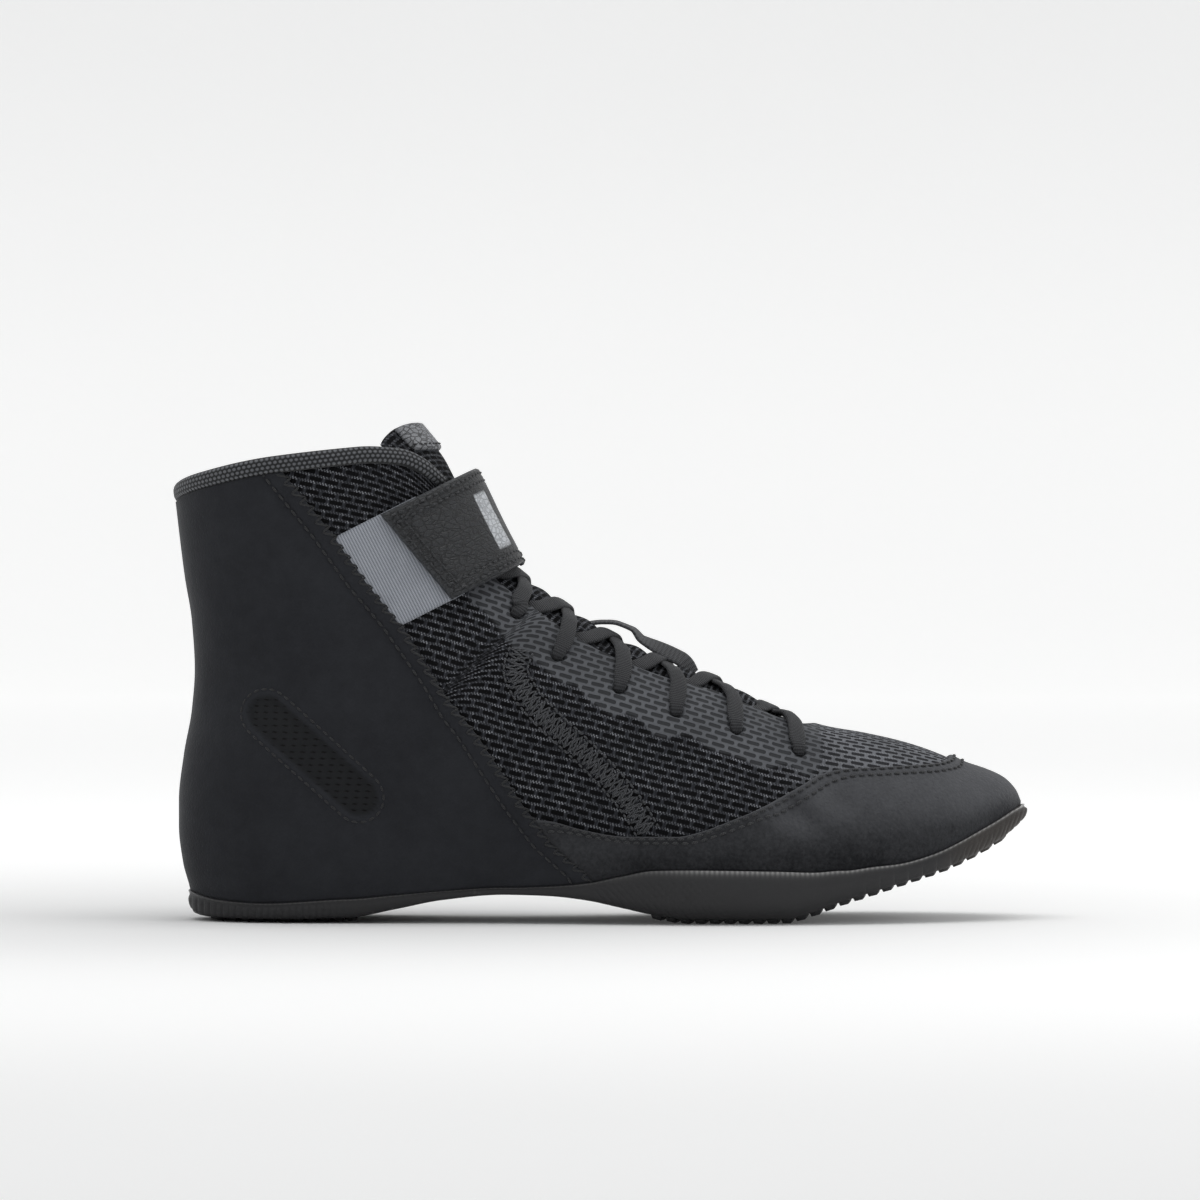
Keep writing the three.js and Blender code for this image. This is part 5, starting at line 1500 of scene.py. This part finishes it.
@dataclass
class Tongue:
    """Padded knit tongue that swells between the laces, with a leather cap at its top."""

    form: Creased
    shop: Workshop
    depth: float = 3.1
    thick: float = 3.2
    top: float = 2.0
    side_top: float = 5.5

    def sheet(self, first: float, last: float, rows: int, columns: int, width: float) -> tuple:
        """Stations and distances across for a strip of the tongue.

        Args:
            first: station of its top at the middle.
            last: station of its end.
            rows: points down.
            columns: points across.
            width: share of the tongue's width.

        Returns:
            Stations, distances across and shares across.
        """
        across = np.linspace(-1, 1, columns)[None] * width
        start = first + (self.side_top - self.top) * across**4
        station = start + (last - start) * np.linspace(0, 1, rows)[:, None]
        share = np.clip((station - 8) / (self.form.throat_end + 5 - 8), 0, 1)
        half = (54 * (1 - share) + 34 * share) / 2
        return station, across * half, np.broadcast_to(across, station.shape)

    def curled(self, station: Array, across: Array, part: Array) -> Array:
        """Points of the form, leaning back and curling in towards the tongue's top corners."""
        top = 1 - smooth(2, 16, station)
        lean = np.stack([-1.5 - 6.5 * np.abs(part) ** 2.2, 0 * part, 1.2 - 0 * part], -1)
        return self.form.across_point(station, across) + lean * top[..., None]

    def build(self) -> None:
        """The pad, its cap and the cap's stitches."""
        form = self.form
        station, across, part = self.sheet(self.top, form.throat_end + 5, 190, 56, 1.0)
        base = self.curled(station, across, part)
        stops = form.station_of(EYELETS[:, 0], EYELETS[:, 1])
        cross = stops[:-1] + 0.49 * np.diff(stops)
        swell = np.zeros(station.shape)
        for low, high in zip(cross[:-1], cross[1:]):
            inside = np.clip((station - low) / (high - low), 0, 1)
            swell = swell + 1.9 * np.sin(np.pi * inside) ** 2
        arched = 1.5 * smooth(27, 33, station) * (1 - smooth(104, 110, station))
        within = 1 - np.minimum(np.abs(part) / 0.78, 1) ** 4
        swell = (swell + arched) * within * (1 - 0.2 * smooth(90, 94, station))
        edge = quarter((1 - np.abs(part)) / 0.16, 2.0) * quarter(
            (station - station[:1]) / 2.0 + 0.1, 2.0)
        down = from_edge(base)[:, [base.shape[1] // 2]] + 0 * across
        plan = np.stack([across + down * 0.1, across * 0.15 - down], -1)
        sheet = Sheet.facing(base, plan, {}, 2)
        flat = edge.ravel()
        high = -self.depth + swell.ravel() - 0.9 * (1 - flat)
        low = -self.depth - self.thick * (0.25 + 0.75 * flat)
        pad = self.shop.piece("padded_tongue", sheet.thick(low, high),
                              OpenKnit("tongue_knit", 2.2, 4.6, (66, 68, 72)).build(),
                              "tongue_knit", ["tongue"])
        station, across, part = self.sheet(self.top + 0.1, 6.8, 36, 60, 0.76)
        points = self.curled(station, across, part)
        cap = Sheet.facing(points, np.stack([across, from_edge(points)], -1), {}, 0)
        near = np.minimum(from_edge(points), from_edge(points[::-1])[::-1])
        shape = rounded(np.minimum(near, (0.76 - np.abs(part)) * 27), 1.3).ravel()
        # painted light: the cap is the strap's leather with a far lighter ground, standing in for
        # light on the cap
        self.shop.piece("leather_cap", cap.thick(-self.depth, -self.depth + 0.4 + shape),
                        GrainLeather("lit_cap_leather", (150, 152, 156)).build(),
                        "strap_leather", ["tongue_cap"])
        normals = cap.normals().reshape(points.shape)
        row = stitched((points - normals * (self.depth - 1.65))[::-1], normals[::-1], 1.7, 0,
                       2.0, 0.7, 0.32)
        self.shop.piece("cap_stitches", row, Thread("cap_thread", (58, 59, 61)).build(),
                        "strap_leather")


@dataclass
class Strap:
    """Ankle strap: leather over the front, elastic on the outer side, a closing patch inside."""

    form: Creased
    shop: Workshop
    width: float = 37.0
    rise: float = 27.0
    elastic: float = 1.4
    leather: float = 2.2
    seams: tuple[float, ...] = (2.3, 5.2)

    def __post_init__(self) -> None:
        """Places the strap's middle line."""
        turn = math.radians(self.rise)
        self.start = (0.226 * self.form.length, 0.779 * self.form.height)
        self.reach = 0.157 * self.form.length
        self.go = (math.cos(turn), math.sin(turn))

    def place(self, distance: Array, across: Array) -> tuple[Array, Array]:
        """Side view place by distance along and across the strap."""
        x = self.start[0] + distance * self.go[0] - across * self.go[1]
        z = self.start[1] + distance * self.go[1] + across * self.go[0]
        return x, z

    def lift(self, station: Array) -> Array:
        """How far the crest moves out to the strap's straight front, along each section."""
        x0, z0 = self.form.ray(station, 0.0)
        x1, z1 = self.form.ray(station, 1.0)
        ahead = (x0 - self.start[0]) * self.go[0] + (z0 - self.start[1]) * self.go[1]
        slope = (x1 - x0) * self.go[0] + (z1 - z0) * self.go[1]
        return np.maximum(0, self.form.crest_reach(station) - (self.reach - ahead) / slope)

    def points(self, distance: Array, across: Array, side: int) -> Array:
        """Points of the strap's ground: the form with its crest moved out."""
        x, z = self.place(distance, across)
        lift = self.lift(self.form.station_of(x, z))
        half = np.where(distance >= self.reach - 1e-6, 0, self.form.half_width(x, z, lift))
        return np.stack([x, self.form.middle(x, z) + side * half, z], -1)

    def band(self, side: int, low: float, high: float, end: float, rows: int,
             columns: int) -> tuple[Array, Array, Array]:
        """Grid of a band on one side.

        Args:
            side: -1 outer, 1 inner.
            low: distance of its start at the lower edge.
            high: the same at the upper edge.
            end: distance of its end.
            rows: points across.
            columns: points along.

        Returns:
            Points, distances along and places across.
        """
        v = np.linspace(0, 1, rows)[:, None]
        t = np.linspace(0, 1, columns)[None]
        t = np.sin(t * math.pi / 2) if end == self.reach else t
        start = low + (high - low) * v
        distance = start + (end - start) * t
        across = self.width * (v - 0.5) + 0 * t
        return self.points(distance, across, side), distance, across

    def build(self) -> None:
        """Leather part with its stitches and plain pale bar, elastic and landing."""
        outer, _, a0 = self.band(-1, 21.5, 13.5, self.reach, 44, 110)
        inner, _, a1 = self.band(1, 4, 4, self.reach, 44, 120)
        grid = np.concatenate([outer, inner[:, ::-1][:, 1:]], 1)
        across = np.concatenate([a0, a1[:, ::-1][:, 1:]], 1)
        run = from_edge(turned(grid, 2)).T
        near = np.minimum(self.width / 2 - np.abs(across), np.minimum(run, run[:, -1:] - run))
        front = run - run[:, [outer.shape[1] - 1]]
        bar = (1 - smooth(-0.2, 0.2, np.abs(across) - 10.0)) * (
            1 - smooth(-0.2, 0.2, np.abs(front + 13.0) - 4.2))
        sheet = Sheet.facing(grid, np.stack([run, across], -1),
                             {"edge": hump(near, 0.5), "patch": bar}, 0)
        normals = sheet.normals().reshape(grid.shape)
        wave = 0.25 * np.sin(run / 9.0 + across / 12.0) * smooth(4, 20, run)
        base = 0.9 + self.elastic
        high = base + self.leather * 0.5 + rounded(near, self.leather * 0.5, 1.5) + wave
        for distance in self.seams:
            high = high - 0.25 * hump(near - distance, 0.5)
        self.shop.piece("leather_strap", sheet.thick(base, high.ravel()),
                        GrainLeather("strap_grain").build(), "strap_leather", ["strap"])
        top = grid + normals * (high - 0.1)[..., None]
        rows = [stitched(turned(top, side), turned(normals, side), distance, 3 + side // 2,
                         2.1, 0.8, 0.36) for distance in self.seams for side in range(4)]
        self.shop.piece("strap_stitches", Sheet.join(*rows),
                        Thread("strap_thread", (64, 66, 69)).build(), "strap_leather")
        weave = Weave("elastic", (78, 82, 90), (182, 186, 194), 0.95, 0.5, True, 0.2, 0.14)
        self.ground("woven_elastic", -1, -8.0, weave, "elastic", "strap_elastic")
        self.ground("loop_landing", 1, -10.0, Lining("loop_pile"), "landing_fabric",
                    "strap_landing")

    def ground(self, name: str, side: int, start: float, finish: Any, slot: str,
               node: str) -> None:
        """Flat cloth under one end of the strap, thinner where the heel panel covers it.

        Args:
            name: the piece's name.
            side: -1 outer, 1 inner.
            start: distance of its rear end.
            finish: its finish.
            slot: material slot.
            node: the solid that it stands for.
        """
        points, distance, across = self.band(side, start, start, 27.0, 40, 60)
        under = smooth(-0.5, 2.2, points[..., 0] - panel_front(points[..., 2]))
        edge = self.width / 2 - np.abs(across)
        high = PANEL_BASE + rounded(edge, self.elastic, 0.8) * (0.4 + 0.6 * under)
        cloth = Sheet.facing(points, np.stack([distance, across], -1), {}, 1, side)
        self.shop.piece(name, cloth.thick(0.05, high.ravel()), finish.build(), slot, [node])


@dataclass
class Lacing:
    """Flat woven lace crossed over the tongue, and the webbing loop sewn over it."""

    form: Creased
    shop: Workshop
    width: float = 6.0
    thick: float = 1.6

    def strand(self, first: Array, second: Array, side: int, over: float, sink: float) -> Sheet:
        """One strand from under the edge past one eyelet over the tongue into the next.

        Args:
            first: station and half width at the eyelet behind.
            second: the same at the eyelet ahead.
            side: side on which it starts.
            over: extra height where the two strands cross.
            sink: how much lower it lies on the tongue than the others.

        Returns:
            The strand.
        """
        form = self.form
        pitch = second[0] - first[0]
        near = float(form.throat_half(first[0]))
        far = float(form.throat_half(second[0] - 2))
        low, high = -2.2 - sink + self.thick / 2, 0.5 + self.thick / 2
        route = [
            (first[0] + 0.02 * pitch, side * (near + 1.5), -2.9),
            (first[0] + 0.12 * pitch, side * (near - 2.6), low - 0.2),
            (first[0] + 0.24 * pitch, side * near * 0.66, low + 0.5),
            (first[0] + 0.38 * pitch, side * near * 0.30, low + 0.7 + over),
            (first[0] + 0.50 * pitch, -side * far * 0.06, low + 0.8 + over),
            (first[0] + 0.62 * pitch, -side * far * 0.42, low + 1.1),
            (first[0] + 0.79 * pitch, -side * (far - 2.2), high + 0.1),
            (first[0] + 0.90 * pitch, -side * (far + 2.2), high + 0.15),
            (first[0] + 0.965 * pitch, -side * (second[1] - 1.9), high - 0.1),
            (second[0], -side * (second[1] - 0.1), high - 1.5),
            (second[0] + 0.01 * pitch, -side * (second[1] + 0.1), high - 4.4),
        ]
        scale = np.array([pitch_mm(form, first[0], second[0]) / pitch, 1.0, 1.0])
        path = spline(np.array(route) * scale, 110) / scale
        centre = form.lifted(path[:, 0], path[:, 1], path[:, 2])
        ground = form.lifted(path[:, 0], path[:, 1], path[:, 2] - 1)
        up = unit(centre - ground)
        t = unit(np.gradient(centre, axis=0))
        dive = np.sum(t * up, 1)
        ahead = unit(centre[-30] - centre[-36])
        up = unit(up - t * dive[:, None] + ahead * smooth(0.5, 1.0, -dive)[:, None] * 0.6)
        place = np.linspace(0, 1, len(path))
        width = self.width * (1 - 0.32 * smooth(0.86, 0.95, place)) * (
            1 - 0.1 * np.sin(place * math.pi) ** 2)
        thick = self.thick * (1 + 0.35 * smooth(0.88, 0.95, place))
        return ribbon(centre, up, width, thick, 0.62, 16)

    def build(self) -> None:
        """Six crossings and the webbing."""
        form = self.form
        x, z = EYELETS[:, 0], EYELETS[:, 1]
        rows = np.stack([form.station_of(x, z), form.half_width(x, z)], 1)
        parts = []
        for k in range(len(rows) - 1):
            sink = 0.6 if k == len(rows) - 2 else 0.0
            parts.append(self.strand(rows[k], rows[k + 1], -1, 1.2, sink))
            parts.append(self.strand(rows[k], rows[k + 1], 1, -0.1, sink))
        lace = Sheet.join(*parts)
        nodes = [f"lace_crossing_{k + 1}" for k in range(6)]
        self.shop.piece("flat_lace", lace,
                        Weave("lace_weave", (14, 15, 17), (62, 63, 66),
                              0.8, 0.62, True, 0.12, 0.3).build(),
                        "lace", nodes)
        stops = rows[:, 0]
        place = [0.0, 0.25, 0.5, 0.75, 1.0, 1.4, 1.8, 2.12]
        station = [np.interp(2 + p, np.arange(7), stops) for p in place]
        height = [-1.6, 2.4, 4.6, 5.0, 3.2, 3.0, 2.6, -1.4]
        line = spline(np.stack([station, np.zeros(8), height], 1), 120)
        centre = form.lifted(line[:, 0], line[:, 1], line[:, 2])
        up = unit(centre - form.lifted(line[:, 0], line[:, 1], line[:, 2] - 1))
        lean = np.radians(6 + 26 * smooth(0.35, 0.75, np.linspace(0, 1, len(line))))[:, None]
        up = up * np.cos(lean) + np.array([0, -1, 0]) * np.sin(lean)
        self.shop.piece("webbing_loop", ribbon(centre, up, 9.0, 1.2, 0.5, 16),
                        Weave("webbing", (22, 23, 25), (66, 67, 70),
                              1.5, 0.9, True, 0.2, 0.3).build(),
                        "webbing", ["lace_keeper"])


def pitch_mm(form: Form, first: float, second: float) -> float:
    """Distance along the crest between two stations."""
    station = np.linspace(first, second, 20)
    x, z = form.ray(station, form.crest_reach(station))
    return float(np.sum(np.hypot(np.diff(x), np.diff(z))))


@dataclass
class Embroidery:
    """Zigzag seam across the knit from the strap down to the guard, on both sides."""

    form: Creased
    shop: Workshop
    line: tuple[tuple[float, float], ...] = (
        (118, 93), (116, 86), (119, 79), (127, 69.5), (138, 59.5), (147.5, 50), (155.5, 40.5),
        (161, 31.5))

    def build(self) -> None:
        """Two running rows with a zigzag between them."""
        path = spline(self.line, 400)
        run = unit(np.gradient(path, axis=0))
        aside = np.stack([-run[:, 1], run[:, 0]], 1)
        parts = []
        for side in (-1, 1):
            def at(offset: float) -> tuple[Array, Array]:
                """Line beside the seam and its directions out of the cloth."""
                p = path + aside * offset
                return (self.form.side_point(p[:, 0], p[:, 1], side),
                        self.form.side_normal(p[:, 0], p[:, 1], side))
            for low, high, step in ((-3.8, 0.6, 1.1), (-0.8, 3.6, 1.25), (-2.6, 2.4, 1.7)):
                left, up = at(low)
                right, _ = at(high)
                parts.append(zigzag(left + up * 0.2, right + up * 0.2, up, step, 0.36))
            for offset in (-4.1, 3.9):
                row, out = at(offset)
                parts.append(running_stitch(row + out * 0.35, out, 1.8, 0.5, 0.4))
        self.shop.piece("knit_stitches", Sheet.join(*parts),
                        Thread("knit_thread", (78, 80, 84)).build(),
                        "knit")


@dataclass
class Outsole:
    """Rubber cup with a rolled lip, ribbed sides, cross bars and two round turning pads."""

    form: Form
    shop: Workshop
    count: int = 1180
    profile_points: int = 30
    edge: float = 0.6
    belly: float = 0.7
    wall: float = 1.9
    lug: float = 1.4
    pitch: float = 4.9

    def line(self, height: Callable[[Array], Array], grow: float) -> Array:
        """Closed plan loop of the form along a height line, moved outwards.

        It runs from the heel along the outer side to the toe and back along the inner side.
        """
        form = self.form
        start = 3.0
        for _ in range(30):
            start = float(form.back(height(np.array(start))))
        turn = np.linspace(0, math.pi, self.count)
        x = start + (form.tip - start) * (1 - np.cos(turn)) / 2
        z = height(x)
        half, mid = form.half_width(x, z), form.middle(x, z)
        outer = np.stack([x, mid - half], 1)
        inner = np.stack([x, mid + half], 1)[::-1][1:-1]
        loop = np.concatenate([outer, inner])
        ahead = np.roll(loop, -2, 0) - np.roll(loop, 2, 0)
        out = unit(np.stack([ahead[:, 1], -ahead[:, 0]], 1))
        grown = loop + out * grow
        return np.stack([grown[:, 0], grown[:, 1], height(grown[:, 0])], 1)

    def ribs(self, rings: Array, depth: Array) -> Array:
        """Outward relief of the ribs by place: upright at the heel, slanting at the waist, across
        the toe bumper."""
        x, z = rings[..., 0], rings[..., 2]

        def wave(at: Array, pitch: float) -> Array:
            """Round ridges with narrow grooves."""
            return 1 - np.abs(np.cos(np.pi * at / pitch)) ** 6

        heel = wave(x, 2.3) * (1 - smooth(48, 62, x))
        waist = wave(x + z * 0.9, 2.6) * smooth(140, 146, x) * (1 - smooth(176, 190, x))
        toe = 1.1 * wave(x - z * 0.4, 1.5) * smooth(262, 268, x)
        ramp = ((x - 163.6) / self.pitch + 0.5) % 1
        low = 1 - smooth(0.3, 0.7, (z - self.form.underside(x)) / 13)
        teeth = 1.9 * ramp * (1 - ramp**9) * low * smooth(226, 234, x) * (1 - smooth(280, 286, x))
        return 0.42 * (heel + waist + toe + teeth) * depth

    def cup(self) -> tuple[Array, dict[str, Array]]:
        """Rings of the cup from the bed over the lip to the underside, and their gradings."""
        form = self.form

        def level(share: float, lift: float = 0.0) -> Callable[[Array], Array]:
            """Height line at a share of the way from the underside to the top edge."""
            return lambda x: (form.underside(x) + share * (form.rim(x) - form.underside(x)) + lift)

        outer = self.edge + self.wall
        rings = np.stack([self.line(height, grow) for height, grow in (
            (form.bed, self.edge), (lambda x: (form.bed(x) + form.rim(x)) / 2, self.edge),
            (form.rim, self.edge - 0.1), (level(1, 0.35), self.edge + self.wall * 0.5),
            (form.rim, outer + 0.25), (level(0.88), outer + 0.1),
            (level(0.62), outer + self.belly), (level(0.30), outer),
            (level(0.10, self.lug * 0.4), self.edge - 1.2), (level(0, self.lug), self.edge - 6))])
        last = len(rings) - 1
        fine = np.concatenate([[0, 1], np.linspace(2, last, self.profile_points)])
        low = np.minimum(fine.astype(int), last - 1)
        u = (fine - low)[:, None, None]
        before, p = rings[np.maximum(low - 1, 0)], rings[low]
        q, after = rings[low + 1], rings[np.minimum(low + 2, last)]
        bend = np.where(low >= 2, 1.0, 0.0)[:, None, None]
        m0 = (q - before) / 2 * bend + (q - p) * (1 - bend)
        m1 = (after - p) / 2 * bend + (q - p) * (1 - bend)
        body = (p * (1 + 2 * u) * (1 - u) ** 2 + q * u * u * (3 - 2 * u)
                + m0 * u * (1 - u) ** 2 - m1 * u * u * (1 - u))
        ahead = np.roll(body, -2, 1) - np.roll(body, 2, 1)
        out = unit(np.stack([ahead[..., 1], -ahead[..., 0], 0 * ahead[..., 0]], -1))
        mask = smooth(4.9, 5.6, fine) * (1 - smooth(8.6, 9.0, fine))
        body = body + out * self.ribs(body, mask[:, None])[..., None]
        x = body[..., 0]
        # the lip mark carries the painted highlight, strongest from the waist to the toe
        marks = {"lip": hump(fine - 4.0, 0.7)[:, None] * (0.35 + 0.65 * smooth(150, 185, x)),
                 "toe": smooth(255, 275, x),
                 "ground": 1 - smooth(1.0, 4.0, body[..., 2] - form.underside(x))}
        return body, marks

    def floor(self, ring: Array, under: bool) -> Sheet:
        """Face across a ring; under is the one that looks down."""
        inner = np.concatenate([ring[:1], ring[self.count:][::-1],
                                ring[self.count - 1:self.count]])
        t = np.linspace(0, 1, 6)[:, None, None]
        face = ring[None, :self.count] * (1 - t) + inner[None] * t
        return Sheet.grid(face, face[..., :2], under, {
            "toe": smooth(255, 275, face[..., 0]),
            "ground": np.full(face.shape[:2], float(under))})

    def build(self) -> None:
        """Cup, tread bars and pads in one piece."""
        body, marks = self.cup()
        closed = np.concatenate([body, body[:, :1]], 1)
        marks = {k: np.concatenate([v, v[:, :1]], 1) for k, v in marks.items()}
        parts = [Sheet.grid(closed, closed[..., [0, 2]], True, marks), self.floor(body[-1], True),
                 self.floor(body[0], False), self.bars(), self.pads()]
        self.shop.piece("rubber_outsole", Sheet.join(*parts, weld=0.004),
                        MouldedRubber("rubber").build(), "sole_rubber", ["outsole"])

    def bars(self) -> Sheet:
        """Cross bars: a low trapezium carried across the sole at each place."""
        form = self.form
        places = np.concatenate([np.arange(12.0, 60, 4.6), np.arange(166.0, 284, self.pitch)])
        profile = np.array([(-2.3, 2.6), (-1.2, 0.3), (1.5, 0.06), (1.9, 2.9), (-2.3, 2.6)])
        across = np.linspace(-1, 1, 13)
        bow = 2.4 * across**2 * np.where(places > 100, 1, -1)[:, None, None]
        x = places[:, None, None] + profile[:, :1] - bow
        z = form.underside(x) + profile[:, 1:]
        half = form.half_width(x, form.underside(x) + self.lug) - 3.4 + 1.8 * smooth(222, 234, x)
        y = form.middle(x, z) + across * np.maximum(half, 1)
        bars = []
        for points in np.stack([x, y, np.maximum(z, 0.05)], -1):
            bar = Sheet.grid(points, points[..., :2], False, {
                "ground": np.ones(x.shape[1:]), "toe": smooth(255, 275, points[..., 0])})
            rows, columns = x.shape[1:]
            first, last = np.arange(rows) * columns, np.arange(rows) * columns + columns - 1
            ends = [first[[0, 1, 2]], first[[0, 2, 3]], last[[0, 2, 1]], last[[0, 3, 2]]]
            bars.append(Sheet(bar.points, np.concatenate([bar.corners, ends]), bar.uv, bar.marks))
        return Sheet.join(*bars)

    def pads(self) -> Sheet:
        """Two round pads that rest on the floor, each a disc with a rounded edge."""
        sheets = []
        turn = np.linspace(0, 2 * math.pi, 49)[None]
        radius = np.array([0.0, 14.2, 14.8, 15.0, 15.0, 0.0])[:, None]
        level = np.array([0.0, 0.0, 0.15, 0.6, 2.6, 2.6])[:, None]
        for share in (0.125, 0.655):
            x = share * self.form.length
            points = np.stack([x + radius * np.cos(turn),
                               float(self.form.middle(x, 0)) + radius * np.sin(turn),
                               level + 0 * turn], -1)
            sheets.append(Sheet.facing(points, points[..., :2], {
                "ground": np.ones(points.shape[:2])}, 2, -1))
        return Sheet.join(*sheets)


@dataclass
class Insole:
    """Sock lining on the bed of the sole."""

    form: Form
    shop: Workshop

    def build(self) -> None:
        """A slab across the bed, slightly dished under heel and ball."""
        form = self.form
        x = np.linspace(9.5, form.length - 8.5, 220)[None]
        half = form.half_width(x, form.bed(x) + 0.5) - 4.6
        end = quarter((x - 8.9) / 26, 2) * quarter((form.length - 8.0 - x) / 30, 2)
        across = np.linspace(-1, 1, 36)[:, None]
        y = form.middle(x, form.bed(x)) + across * np.maximum(half, 1.0) * end
        toe = smooth(0.86 * form.length, 0.97 * form.length, x)
        z = form.bed(x) + 0.3 + 3 * (1 - 0.6 * toe) - 0.5 * (1 - across**2) * (1 - toe)
        points = np.stack([x + 0 * across, y, z], -1)
        sheet = Sheet.facing(points, points[..., :2], {}, 2)
        self.shop.piece("sock_lining", sheet.thick(-1.2, 0.0), Lining("sock_cloth").build(),
                        "lining", ["insole"])


@dataclass
class Studio:
    """Pale sweep, soft lights and the camera at the photograph's angle."""

    centre: tuple[float, float] = (144.6, 109.8)
    frame: float = 413.2
    distance: float = 2.2

    def build(self, form: Form) -> None:
        """Adds the stage, the lights and the camera."""
        self.sweep()
        self.light("top_panel", (0.12, -0.12, 1.35), (0.1, 0.0, 0.0), (1.3, 0.8), 8.2)
        self.light("toe_panel", (1.3, -0.8, 0.9), (0.15, 0.0, 0.05), (0.5, 0.5), 1.2)
        world = bpy.data.worlds.new("soft_room")
        world.use_nodes = True
        world.node_tree.nodes["Background"].inputs["Color"].default_value = (0.97, 0.98, 1.0, 1)
        world.node_tree.nodes["Background"].inputs["Strength"].default_value = 0.5
        bpy.context.scene.world = world
        bpy.context.scene.view_settings.view_transform = "Standard"
        camera = bpy.data.cameras.new("camera")
        camera.sensor_width = 36.0
        camera.lens = 36.0 * self.distance * 1000 / self.frame
        camera.clip_end = 50
        seat = bpy.data.objects.new("camera", camera)
        x = (self.centre[0] + form.shift[0]) * 0.001
        seat.location = (x, -self.distance, self.centre[1] * 0.001)
        seat.rotation_euler = (math.pi / 2, 0, 0)
        bpy.context.scene.collection.objects.link(seat)
        bpy.context.scene.camera = seat

    def sweep(self) -> None:
        """Floor that turns up into a wall far behind, as a profile carried sideways."""
        turn = np.linspace(0, math.pi / 2, 24)
        y = np.concatenate([[-6.0], 5.0 + 2.0 * np.sin(turn), [7.0]])
        z = np.concatenate([[0.0], 2.0 - 2.0 * np.cos(turn), [9.0]])
        x = np.array([-9.0, 9.0])
        points = np.stack([np.repeat(x[None], len(y), 0), np.repeat(y[:, None], 2, 1),
                           np.repeat(z[:, None], 2, 1)], -1)
        index = np.arange(len(y) * 2).reshape(-1, 2)
        faces = np.concatenate([index[:-1], index[1:, ::-1]], 1).tolist()
        mesh = bpy.data.meshes.new("studio_sweep")
        mesh.from_pydata(points.reshape(-1, 3).tolist(), [], faces)
        mesh.polygons.foreach_set("use_smooth", np.ones(len(faces), bool))
        g = Graph("sweep_paper")
        soft = g.noise(3.0, 2)
        x, y, z = g.parts(g.place())
        away = 1 + (x * x + y * y) / 0.35
        glow = 0.42 - (away * away) ** -1.0 * 0.42 - z.step(0.25, 1.1) * 0.1
        glow = glow - (0.0 - y).step(0.25, 0.85) * 0.21
        glowing = g.mix(glow, (0.0, 0.0, 0.0), (1.0, 1.0, 0.992))
        mesh.materials.append(g.finish(g.mix(soft, (0.86, 0.86, 0.853), (0.88, 0.88, 0.873)), 0.9,
                                       Specular_IOR_Level=0.1, Emission_Color=glowing,
                                       Emission_Strength=1.0))
        floor = bpy.data.objects.new("studio_sweep", mesh)
        bpy.context.scene.collection.objects.link(floor)

    def light(self, name: str, at: Sequence[float], to: Sequence[float],
              size: tuple[float, float], power: float) -> None:
        """Area light from a place towards a place.

        Args:
            name: its name.
            at: where it stands.
            to: where it points.
            size: width and height.
            power: watts.
        """
        data = bpy.data.lights.new(name, "AREA")
        data.shape, data.size, data.size_y, data.energy = "RECTANGLE", size[0], size[1], power
        lamp = bpy.data.objects.new(name, data)
        lamp.location = at
        away = unit(np.array(at, float) - np.array(to, float))
        lamp.rotation_euler = (math.acos(float(away[2])), 0.0,
                               math.atan2(float(away[1]), float(away[0])) + math.pi / 2)
        bpy.context.scene.collection.objects.link(lamp)


def main() -> None:
    """Builds every piece in order."""
    logging.basicConfig(level=logging.INFO, format="%(message)s")
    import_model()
    form, plain = Creased(), Form()
    shop = Workshop(form)
    Studio().build(plain)
    for part in (Outsole(plain, shop), Insole(plain, shop), Upper(form, shop), Tongue(form, shop),
                 HeelPanel(form, shop), ToeGuard(form, shop), Collar(form, shop), Strap(form, shop),
                 Lacing(form, shop), Embroidery(form, shop)):
        part.build()
        LOG.info("built %s", type(part).__name__)


if __name__ == "__main__":
    main()
